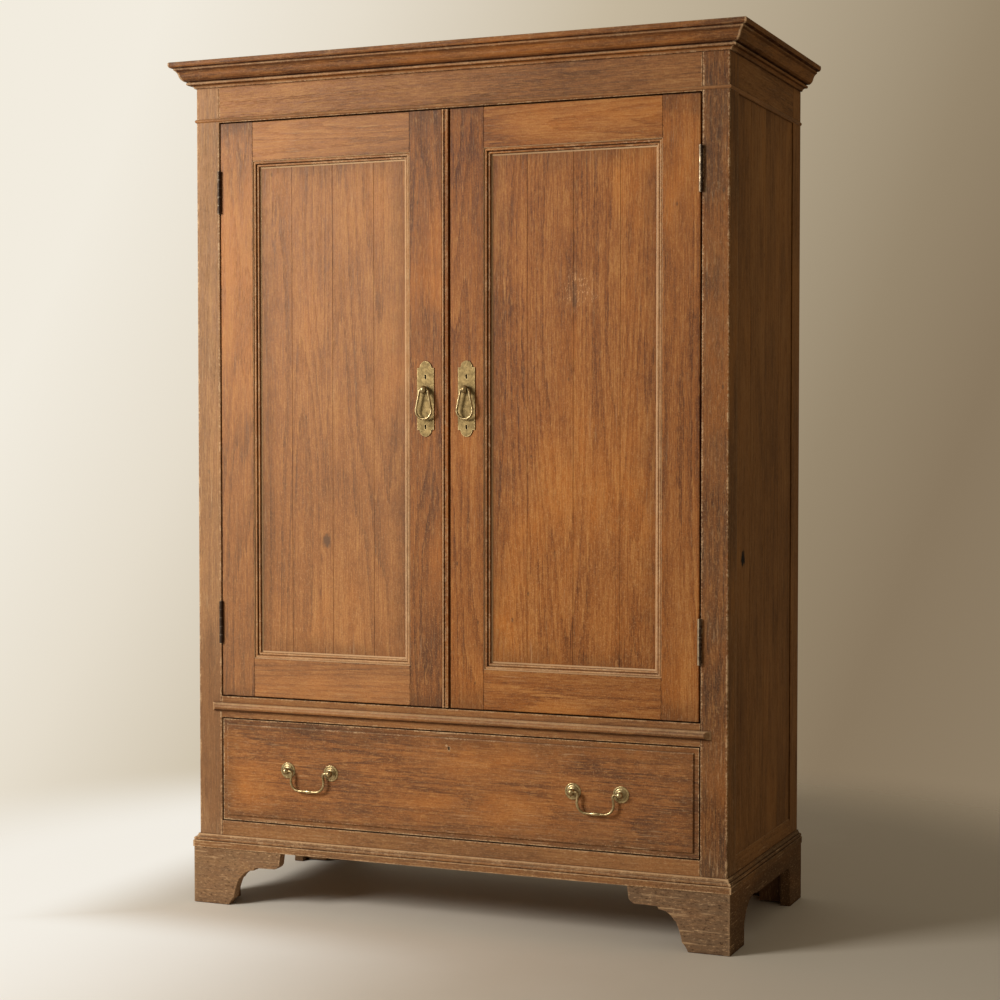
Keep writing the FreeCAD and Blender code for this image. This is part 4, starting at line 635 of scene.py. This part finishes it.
def worn_board(node, finish, slot, arris, tone=0.0, spread_tone=0.05, way=None, wear=0.7, rim=0.3, inset=0.0,
               wear_reach=0.004, dry=0.1, matched=False, ends_only=False, lines=None, fade=0.0, grime_and_shade=1.0,
               figure=1.0, painted_shade_lean=0.0):
    """A copy of the node with its outer arrises rubbed round, and each board's grain along its length.

    Boards differ from tone by up to spread_tone, and a lean tones them by how far they lie to the right, as painted
    shade across the press from the window's side.
    """
    mesh = frame["nodes"][node].data.copy()
    mesh.name = node + "_worn"
    shape = bmesh.new()
    shape.from_mesh(mesh)
    if arris:
        bmesh.ops.remove_doubles(shape, verts=shape.verts, dist=WELD)
        bmesh.ops.dissolve_limit(shape, angle_limit=FLAT_WITHIN, verts=shape.verts, edges=shape.edges)
        outer = [line for line in shape.edges
                 if line.is_manifold and line.is_convex and line.calc_face_angle(0.0) > ARRIS_FROM]
        bmesh.ops.bevel(shape, geom=outer, offset=arris, offset_type="OFFSET", segments=ARRIS_STEPS, profile=0.5,
                        affect="EDGES", clamp_overlap=True)
    shape.faces.index_update()
    dice = random.Random(node)
    count = len(shape.faces)
    axes, seeds, tones = [0.0] * (3 * count), [0.0] * count, [0.0] * count
    boards = [[face] for face in shape.faces] if way else islands(shape.faces)
    for board in boards:
        run = way(board) if way else longest_way(board)
        seed, own = (MATCHED_SEED, 0.0) if way else (dice.random(), dice.uniform(-spread_tone, spread_tone))
        seed = MATCHED_SEED if matched else seed
        own += painted_shade_lean * sum(face.calc_center_median().x for face in board) / len(board)
        for face in board:
            axes[3 * face.index:3 * face.index + 3] = run
            seeds[face.index] = seed + run[0] * CROSSWISE
            tones[face.index] = tone + own
    quirks, ridges = lines_of(shape, *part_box(node), lines) if lines else ([0.0] * count, [0.0] * count)
    shape.to_mesh(mesh)
    shape.free()
    return dress_board(mesh, node, finish, axes, seeds, tones, quirks, ridges, wear=wear, reach=wear_reach,
                       rim=rim, dry=dry, field=rim_of(*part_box(node), inset, ends_only), fade=fade, grime_and_shade=grime_and_shade,
                       figure=figure, rounded=bool(arris))


def turn_sides(piece, finish):
    """The outer side faces of a piece take the finish of the press's sides."""
    piece.data.materials.append(finish)
    for face in piece.data.polygons:
        face.material_index = int(abs(face.center.x) > SIDE_FROM and abs(face.normal.x) > SIDE_TURN)


def plain_node(node, finish):
    """A CAD node that stays as it is, under its own finish."""
    held = frame["nodes"][node]
    held.data.materials.clear()
    held.data.materials.append(finish)


# Where quirks hold dirt and ridges are rubbed: from and to, as shares across the moulding, then dirt, then wear. In
# places the dirt is painted shade and the wear painted highlight.
UP, OVER = 2, 0
CORNICE_LINES = (UP, ((0.0, 0.02, 0.8, 0.0), (0.03, 0.08, 0.0, 0.5), (0.112, 0.125, 0.7, 0.0),
                      (0.15, 0.215, 0.0, 0.75), (0.222, 0.27, 1.0, 0.0), (0.27, 0.33, 0.5, 0.0),
                      (0.64, 0.70, 0.55, 0.0), (0.701, 0.760, 0.0, 0.6), (0.761, 0.80, 1.0, 0.0)))
PLINTH_LINES = (UP, ((0.0, 0.03, 0.0, 0.6), (0.455, 0.502, 0.0, 1.0), (0.503, 0.56, 0.85, 0.0),
                     (0.755, 0.775, 0.9, 0.0), (0.93, 1.0, 0.0, 0.8)))
# The waist moulding's dark underside is painted shade, and its pale top ridge partly painted highlight.
WAIST_LINES = (UP, ((0.0, 0.2, 0.8, 0.0), (0.45, 0.62, 0.0, 0.45), (0.82, 1.0, 0.0, 0.9)))
# The astragal's dark band beside its bead is partly painted shade.
ASTRAGAL_LINES = (OVER, ((0.0, 0.27, 0.0, 1.0), (0.29, 0.399, 0.9, 0.0), (0.40, 0.50, 1.0, 0.0),
                         (0.51, 0.85, 0.25, 0.0), (0.86, 0.93, 0.0, 0.3)))


# Panel mouldings: points are across from the stile and up from the panel, with the dirt and wear of what arrives there
QUIRK, RIDGE, PLAIN = (1.0, 0.0), (0.0, 0.8), (0.0, 0.0)
FLANK, CROWN, FOOT, SEAM = (0.55, 0.0), (0.0, 0.7), (0.45, 0.0), (0.8, 0.0)
PANEL_MOULDING_WIDTH, LIP_WIDTH, FOOT_RISE = 0.017, 0.0008, 0.0006
OUTER_QUIRK = ((0.0012, 0.0090), (0.0018, 0.0084))
MIDDLE_QUIRK = ((0.0075, 0.0040), (0.0082, 0.0037))
INNER_QUIRK = ((0.0137, 0.0011), (0.0146, 0.0009))
# Beads: middle across, middle up, radius, and the degrees from and to which they are round
OUTER_BEAD, INNER_BEAD = (0.0046, 0.0076, 0.0027, 160, -15), (0.0109, 0.0038, 0.0026, 165, -10)
BEAD_STEPS, CROWN_FROM = 8, 0.45


def quirk_outline(points):
    return [(across, up, QUIRK) for across, up in points]


def bead_outline(middle, height, radius, first, last):
    """Points round a bead; the turned-up part of it is rubbed, the flanks hold dirt."""
    points = []
    for step in range(BEAD_STEPS + 1):
        turn = math.radians(first + (last - first) * step / BEAD_STEPS)
        across, up = middle + radius * math.cos(turn), height + radius * math.sin(turn)
        flank = math.sin(turn - 0.5 * math.radians(360 / BEAD_STEPS)) < CROWN_FROM
        points.append((across, up, FLANK if flank else CROWN))
    return points


def panel_outline(width, height):
    """From the stile's foot up its lip, over both beads, and down to the panel."""
    return ([(0.0, 0.0, PLAIN), (0.0, height, PLAIN), (LIP_WIDTH, height, RIDGE)]
            + quirk_outline(OUTER_QUIRK) + bead_outline(*OUTER_BEAD)
            + quirk_outline(MIDDLE_QUIRK) + bead_outline(*INNER_BEAD)
            + quirk_outline(INNER_QUIRK) + [(width - FOOT_RISE, FOOT_RISE, FOOT), (width, 0.0, SEAM)])


# Bottom, right, top and left lengths: how much dirt and painted shade they hold, and how far their ridges are rubbed
# and paled as painted highlight; the top and left lengths turn from the light, the bottom and right ones towards it
LENGTH_DIRT_AND_SHADE = (0.3, 0.3, 1.2, 1.0)
LENGTH_WEAR_AND_HIGHLIGHT = (1.1, 1.2, 0.0, 0.3)
# The window's side has faded and is paled further as a painted sheen, its post most and the meeting stile least
FADE_AND_SHEEN = {"left": 0.33, "right": 0.0}
POST_FADE_AND_SHEEN, MEETING_FADE_AND_SHEEN = 1.6, 0.35
POST_TONE = {"left": 0.03, "right": -0.20}
MEETING_TONE = {"left": -0.20, "right": -0.10}
PANEL_FIGURE = {"left": 0.95, "right": 1.1}


def panel_moulding(side):
    """A mitred frame of two beads and three quirks round a door's panel, where its solid is."""
    node = f"{side}_door_moulding"
    low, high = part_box(node)
    outline = panel_outline(PANEL_MOULDING_WIDTH, high.y - low.y)
    shape = bmesh.new()
    rings = []
    for across, up, _ in outline:
        corners = ((low.x + across, low.z + across), (high.x - across, low.z + across),
                   (high.x - across, high.z - across), (low.x + across, high.z - across))
        rings.append([shape.verts.new((x, high.y - up, z)) for x, z in corners])
    axes, seeds, quirks, ridges = [], [], [], []
    for step, ring in enumerate(rings):
        after = rings[(step + 1) % len(rings)]
        dirt, wear = outline[(step + 1) % len(rings)][2]
        for corner in range(4):
            following = (corner + 1) % 4
            shape.faces.new((ring[corner], ring[following], after[following], after[corner]))
            axes += [1.0, 0.0, 0.0] if corner in (0, 2) else [0.0, 0.0, 1.0]
            seeds.append(0.2 + 0.17 * corner)
            quirks.append(dirt * LENGTH_DIRT_AND_SHADE[corner])
            ridges.append(wear * LENGTH_WEAR_AND_HIGHLIGHT[corner])
    bmesh.ops.recalc_face_normals(shape, faces=shape.faces)
    mesh = bpy.data.meshes.new(node + "_worn")
    shape.to_mesh(mesh)
    shape.free()
    count = len(mesh.polygons)
    far = [[-9.0] * 3, [9.0] * 3]
    dress_board(mesh, node, DOOR, axes, seeds, [-0.03] * count, quirks, ridges, wear=0.75, reach=0.003,
                rim=0.0, dry=0.15, field=far, fade=FADE_AND_SHEEN[side], grime_and_shade=0.35)


def make_sides(side):
    post = worn_board(f"front_post_{side}", CARCASE, "carcase_wood", arris=0.0016, tone=POST_TONE[side], wear=0.8,
                      rim=0.5, wear_reach=0.006, dry=0.35, ends_only=True, fade=POST_FADE_AND_SHEEN * FADE_AND_SHEEN[side], figure=1.15)
    turn_sides(post, SIDE)
    worn_board(f"rear_post_{side}", SIDE, "carcase_wood", arris=0.0014, tone=-0.03, wear=0.1, ends_only=True)
    worn_board(f"side_rails_{side}", SIDE, "carcase_wood", arris=0.0010, tone=-0.05, wear=0.15)
    worn_board(f"side_boards_{side}", SIDE, "carcase_wood", arris=0.0008, tone=-0.03, wear=0.0)
    # The side brackets are toned dark as painted shade low on the sides.
    worn_board(f"side_bracket_{side}", SIDE, "carcase_wood", arris=0.0016, tone=-0.68, wear=0.1, dry=0.05,
               figure=1.2)


def make_door(side):
    fade = FADE_AND_SHEEN[side]
    # The door frames' arrises are darkened: grubby, and painted shade along the gaps round the doors.
    framing = {"arris": 0.0009, "wear": -0.6, "wear_reach": 0.003}
    worn_board(f"{side}_door_hinge_stile", DOOR, "door_wood", tone=-0.06, rim=0.85, ends_only=True, fade=fade,
               **framing)
    worn_board(f"{side}_door_meeting_stile", DOOR, "door_wood", tone=MEETING_TONE[side], rim=0.85, ends_only=True,
               fade=MEETING_FADE_AND_SHEEN * fade, **framing)
    for part in ("top_rail", "bottom_rail"):
        worn_board(f"{side}_door_{part}", DOOR, "door_wood", tone=-0.04, rim=0.2, fade=fade, **framing)
    worn_board(f"{side}_door_panel", DOOR, "door_wood", arris=0.0002, tone=-0.03, spread_tone=0.012, wear=0.0,
               rim=0.55, inset=0.02, dry=0.03, matched=True, fade=fade, grime_and_shade=0.5, figure=PANEL_FIGURE[side])
    panel_moulding(side)


def make_front():
    worn_board("left_door_astragal", DOOR, "door_wood", arris=0.0003, tone=-0.10, wear=0.5, rim=0.0,
               lines=ASTRAGAL_LINES, grime_and_shade=0.3)
    worn_board("drawer_front", DOOR, "door_wood", arris=0.0008, tone=-0.20, wear=0.8, rim=0.75, wear_reach=0.0035,
               dry=0.25, fade=0.12, figure=1.3)
    for part, tone, dry in (("frieze_rail", 0.08, 0.04), ("waist_rail", 0.0, 0.2), ("bottom_rail", 0.0, 0.2)):
        worn_board(part, CARCASE, "carcase_wood", arris=0.0010, tone=tone, wear=0.6, rim=0.2, dry=dry, fade=0.12)


def make_mouldings():
    worn_board("waist_moulding", CARCASE, "carcase_wood", arris=0.0004, wear=0.6, rim=0.0, dry=0.25,
               lines=WAIST_LINES, fade=0.15, grime_and_shade=0.5)
    for part, finish, tone in (("cornice_front", CARCASE, -0.22), ("cornice_returns", SIDE, -0.25)):
        worn_board(part, finish, "carcase_wood", arris=0.0005, tone=tone, wear=0.5, rim=0.0, dry=0.15,
                   lines=CORNICE_LINES, grime_and_shade=0.6)
    # The plinth returns are toned dark as painted shade low on the sides.
    for part, finish, tone in (("plinth_front", CARCASE, 0.0), ("plinth_returns", SIDE, -0.52)):
        worn_board(part, finish, "carcase_wood", arris=0.0004, tone=tone, wear=0.65, rim=0.0, dry=0.4,
                   lines=PLINTH_LINES, grime_and_shade=0.6)
    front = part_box("frieze_rail")[0].y
    bead = worn_board("frieze_bead", CARCASE, "carcase_wood", arris=None, tone=-0.1, way=round_three_sides(front),
                      wear=0.0, rim=0.0, dry=0.2, fade=0.2)
    turn_sides(bead, SIDE)


def make_feet():
    # The front brackets are darker to the right and paler to the left: painted shade away from the window.
    worn_board("front_brackets", CARCASE, "carcase_wood", arris=0.0018, tone=-0.13, wear=0.15, rim=0.5,
               wear_reach=0.005, dry=0.8, fade=0.32, figure=1.4, painted_shade_lean=-0.60)
    # The rear brackets and foot blocks are toned dark as painted shade under the press.
    for part, arris in (("rear_brackets", 0.0018), ("foot_blocks", 0.0007)):
        worn_board(part, INNER, "inner_wood", arris=arris, tone=-0.6, wear=0.2, rim=1.0)


def make_inside():
    for part in ("back_boards", "top_boards"):
        worn_board(part, INNER, "inner_wood", arris=0.0022, tone=-0.02, spread_tone=0.1, wear=0.2)
    for part in ("back_rails", "cupboard_floor", "shelf_lower", "shelf_middle", "shelf_upper", "shelf_bearers",
                 "drawer_runners", "drawer_stops", "drawer_sides", "drawer_back", "drawer_bottom"):
        worn_board(part, INNER, "inner_wood", arris=0.0007, spread_tone=0.09, wear=0.3)


# In front of this a pull plate's faces belong to its post
PULL_POST_FROM = -0.2705


def make_metal():
    for side in ("left", "right"):
        plate = worn_board(f"{side}_pull_plate", BRASS, "aged_brass", arris=0.0005)
        plate.data.materials.append(HANDLED_BRASS)
        for face in plate.data.polygons:
            face.material_index = int(face.center.y < PULL_POST_FROM)
        plain_node(f"{side}_drop_pull", HANDLED_BRASS)
        plain_node(f"{side}_bail", HANDLED_BRASS)
        plain_node(f"{side}_door_hinge_leaves", IRON)
    plain_node("drawer_handle_posts", HANDLED_BRASS)
    plain_node("frame_hinges", IRON)
    plain_node("drawer_lock", LOCK_IRON)


# Floor, light and camera

# The floor thins out between these distances
FLOOR_NEAR, FLOOR_FAR = 1.3, 2.2
FLOOR_SHADED, FLOOR_PALE, FLOOR_SUNLIT = tint(208, 200, 187), tint(250, 247, 241), tint(246, 241, 231)
# Sunlit floor as the camera sees it: beside the press and before it by how far left, and before it by how far forward
SUN_BESIDE, SUN_BEFORE, SUN_FORWARD, SUN_STRENGTH = (0.66, 1.0), (-0.3, 0.95), (-0.34, -0.62), 0.92
# Backdrop from the window's side to the far side, by how far a view turns to +X, and how much a higher view pales
BACKDROP = ((-0.60, tint(242, 236, 223)), (-0.52, tint(230, 221, 204)), (-0.41, tint(197, 183, 158)),
            (-0.235, tint(150, 134, 109)), (-0.17, tint(136, 119, 95)), (0.2, tint(158, 143, 120)),
            (0.9, tint(196, 184, 164)))
BACKDROP_RISE = -0.4
FILL_COLOUR, FILL_STRENGTH = tint(192, 178, 154), 0.42
WINDOW_PLACE, WINDOW_TARGET, WINDOW_SIZE = (-2.15, -2.75, 2.0), (0.0, -0.2, 1.0), (1.3, 1.3)
WINDOW_POWER, WINDOW_COLOUR = 108.0, (1.0, 0.95, 0.87)
CAMERA_PLACE = Vector((1.8517, -4.3844, 1.1086))
CAMERA_YAW, CAMERA_PITCH = math.radians(22.78), math.radians(-2.01)
CAMERA_LENS, CAMERA_SENSOR = 73.58, 36.0


def make_floor():
    mesh = bpy.data.meshes.new("floor")
    shape = bmesh.new()
    bmesh.ops.create_circle(shape, cap_ends=True, segments=96, radius=FLOOR_FAR)
    shape.to_mesh(mesh)
    shape.free()
    floor = bpy.data.objects.new("floor", mesh)
    bpy.context.scene.collection.objects.link(floor)
    made, tree, shader, place = new_finish("pale_floor")
    mottle = spread(tree, cloud(tree, place, 3.0, 4.0, 0.6), 0.3, 0.7, -0.1, 0.1)
    across = sums(tree, "SUBTRACT", mottle, add(tree, "SeparateXYZ", place).outputs["X"])
    colour = blend(tree, spread(tree, across, -0.6, 1.6), FLOOR_SHADED, FLOOR_PALE)
    tree.links.new(colour, shader["Base Color"])
    shader["Roughness"].default_value = 0.75
    shader["Specular IOR Level"].default_value = 0.2
    out = vectors(tree, "LENGTH", place)
    clear = tree.nodes.new("ShaderNodeBsdfTransparent")
    fade = add(tree, "MixShader", spread(tree, out, FLOOR_NEAR, FLOOR_FAR, soft=True))
    end = next(n for n in tree.nodes if n.type == "OUTPUT_MATERIAL")
    body = next(n for n in tree.nodes if n.type == "BSDF_PRINCIPLED")
    seen = tree.nodes.new("ShaderNodeLightPath").outputs["Is Camera Ray"]
    bright = add(tree, "Emission", FLOOR_SUNLIT, 1.0)
    spot = add(tree, "SeparateXYZ", place).outputs
    left = sums(tree, "MULTIPLY", spot["X"], -1.0)
    beside = spread(tree, left, *SUN_BESIDE, soft=True)
    before = sums(tree, "MULTIPLY", spread(tree, left, *SUN_BEFORE, soft=True),
                  spread(tree, spot["Y"], *SUN_FORWARD, soft=True))
    shone_on = sums(tree, "MULTIPLY", sums(tree, "MAXIMUM", beside, before), SUN_STRENGTH)
    lit = add(tree, "MixShader", sums(tree, "MULTIPLY", seen, shone_on))
    tree.links.new(body.outputs[0], lit.inputs[1])
    tree.links.new(bright.outputs[0], lit.inputs[2])
    tree.links.new(lit.outputs[0], fade.inputs[1])
    tree.links.new(clear.outputs[0], fade.inputs[2])
    tree.links.new(fade.outputs[0], end.inputs["Surface"])
    mesh.materials.append(made)


def make_world():
    world = bpy.data.worlds.new("studio")
    world.use_nodes = True
    tree = world.node_tree
    tree.nodes.clear()
    path = tree.nodes.new("ShaderNodeLightPath").outputs
    seen = sums(tree, "MAXIMUM", sums(tree, "MAXIMUM", path["Is Camera Ray"], path["Is Glossy Ray"]),
                path["Is Transmission Ray"])
    view = add(tree, "SeparateXYZ", tree.nodes.new("ShaderNodeTexCoord").outputs["Generated"]).outputs
    turn = sums(tree, "MULTIPLY_ADD", view["Z"], BACKDROP_RISE, view["X"])
    ramp = tree.nodes.new("ShaderNodeValToRGB")
    first, last = BACKDROP[0][0], BACKDROP[-1][0]
    tree.links.new(spread(tree, turn, first, last), ramp.inputs[0])
    stops = ramp.color_ramp.elements
    stops[0].color, stops[-1].color = BACKDROP[0][1], BACKDROP[-1][1]
    for place, colour in BACKDROP[1:-1]:
        stops.new((place - first) / (last - first)).color = colour
    fill = add(tree, "Background", FILL_COLOUR, FILL_STRENGTH)
    shown = add(tree, "Background", ramp.outputs[0], 1.0)
    mix = add(tree, "MixShader", seen, fill.outputs[0], shown.outputs[0])
    tree.links.new(mix.outputs[0], tree.nodes.new("ShaderNodeOutputWorld").inputs["Surface"])
    bpy.context.scene.world = world


def make_light():
    lamp = bpy.data.lights.new("window_light", "AREA")
    lamp.shape = "RECTANGLE"
    lamp.size, lamp.size_y = WINDOW_SIZE
    lamp.energy = WINDOW_POWER
    lamp.color = WINDOW_COLOUR
    held = bpy.data.objects.new("window_light", lamp)
    held.location = WINDOW_PLACE
    held.rotation_mode = "QUATERNION"
    held.rotation_quaternion = (Vector(WINDOW_TARGET) - Vector(WINDOW_PLACE)).to_track_quat("-Z", "Y")
    bpy.context.scene.collection.objects.link(held)


def make_camera():
    lens = bpy.data.cameras.new("camera")
    lens.lens, lens.sensor_width = CAMERA_LENS, CAMERA_SENSOR
    camera = bpy.data.objects.new("camera", lens)
    camera.location = CAMERA_PLACE
    ahead = Vector((-math.sin(CAMERA_YAW) * math.cos(CAMERA_PITCH), math.cos(CAMERA_YAW) * math.cos(CAMERA_PITCH),
                    math.sin(CAMERA_PITCH)))
    camera.rotation_mode = "QUATERNION"
    camera.rotation_quaternion = ahead.to_track_quat("-Z", "Y")
    bpy.context.scene.collection.objects.link(camera)
    bpy.context.scene.camera = camera


for door_side in ("left", "right"):
    make_sides(door_side)
    make_door(door_side)
make_front()
make_mouldings()
make_feet()
make_inside()
make_metal()
make_floor()
make_world()
make_light()
make_camera()
bpy.context.scene.view_settings.view_transform = "Standard"

bpy.context.view_layer.update()
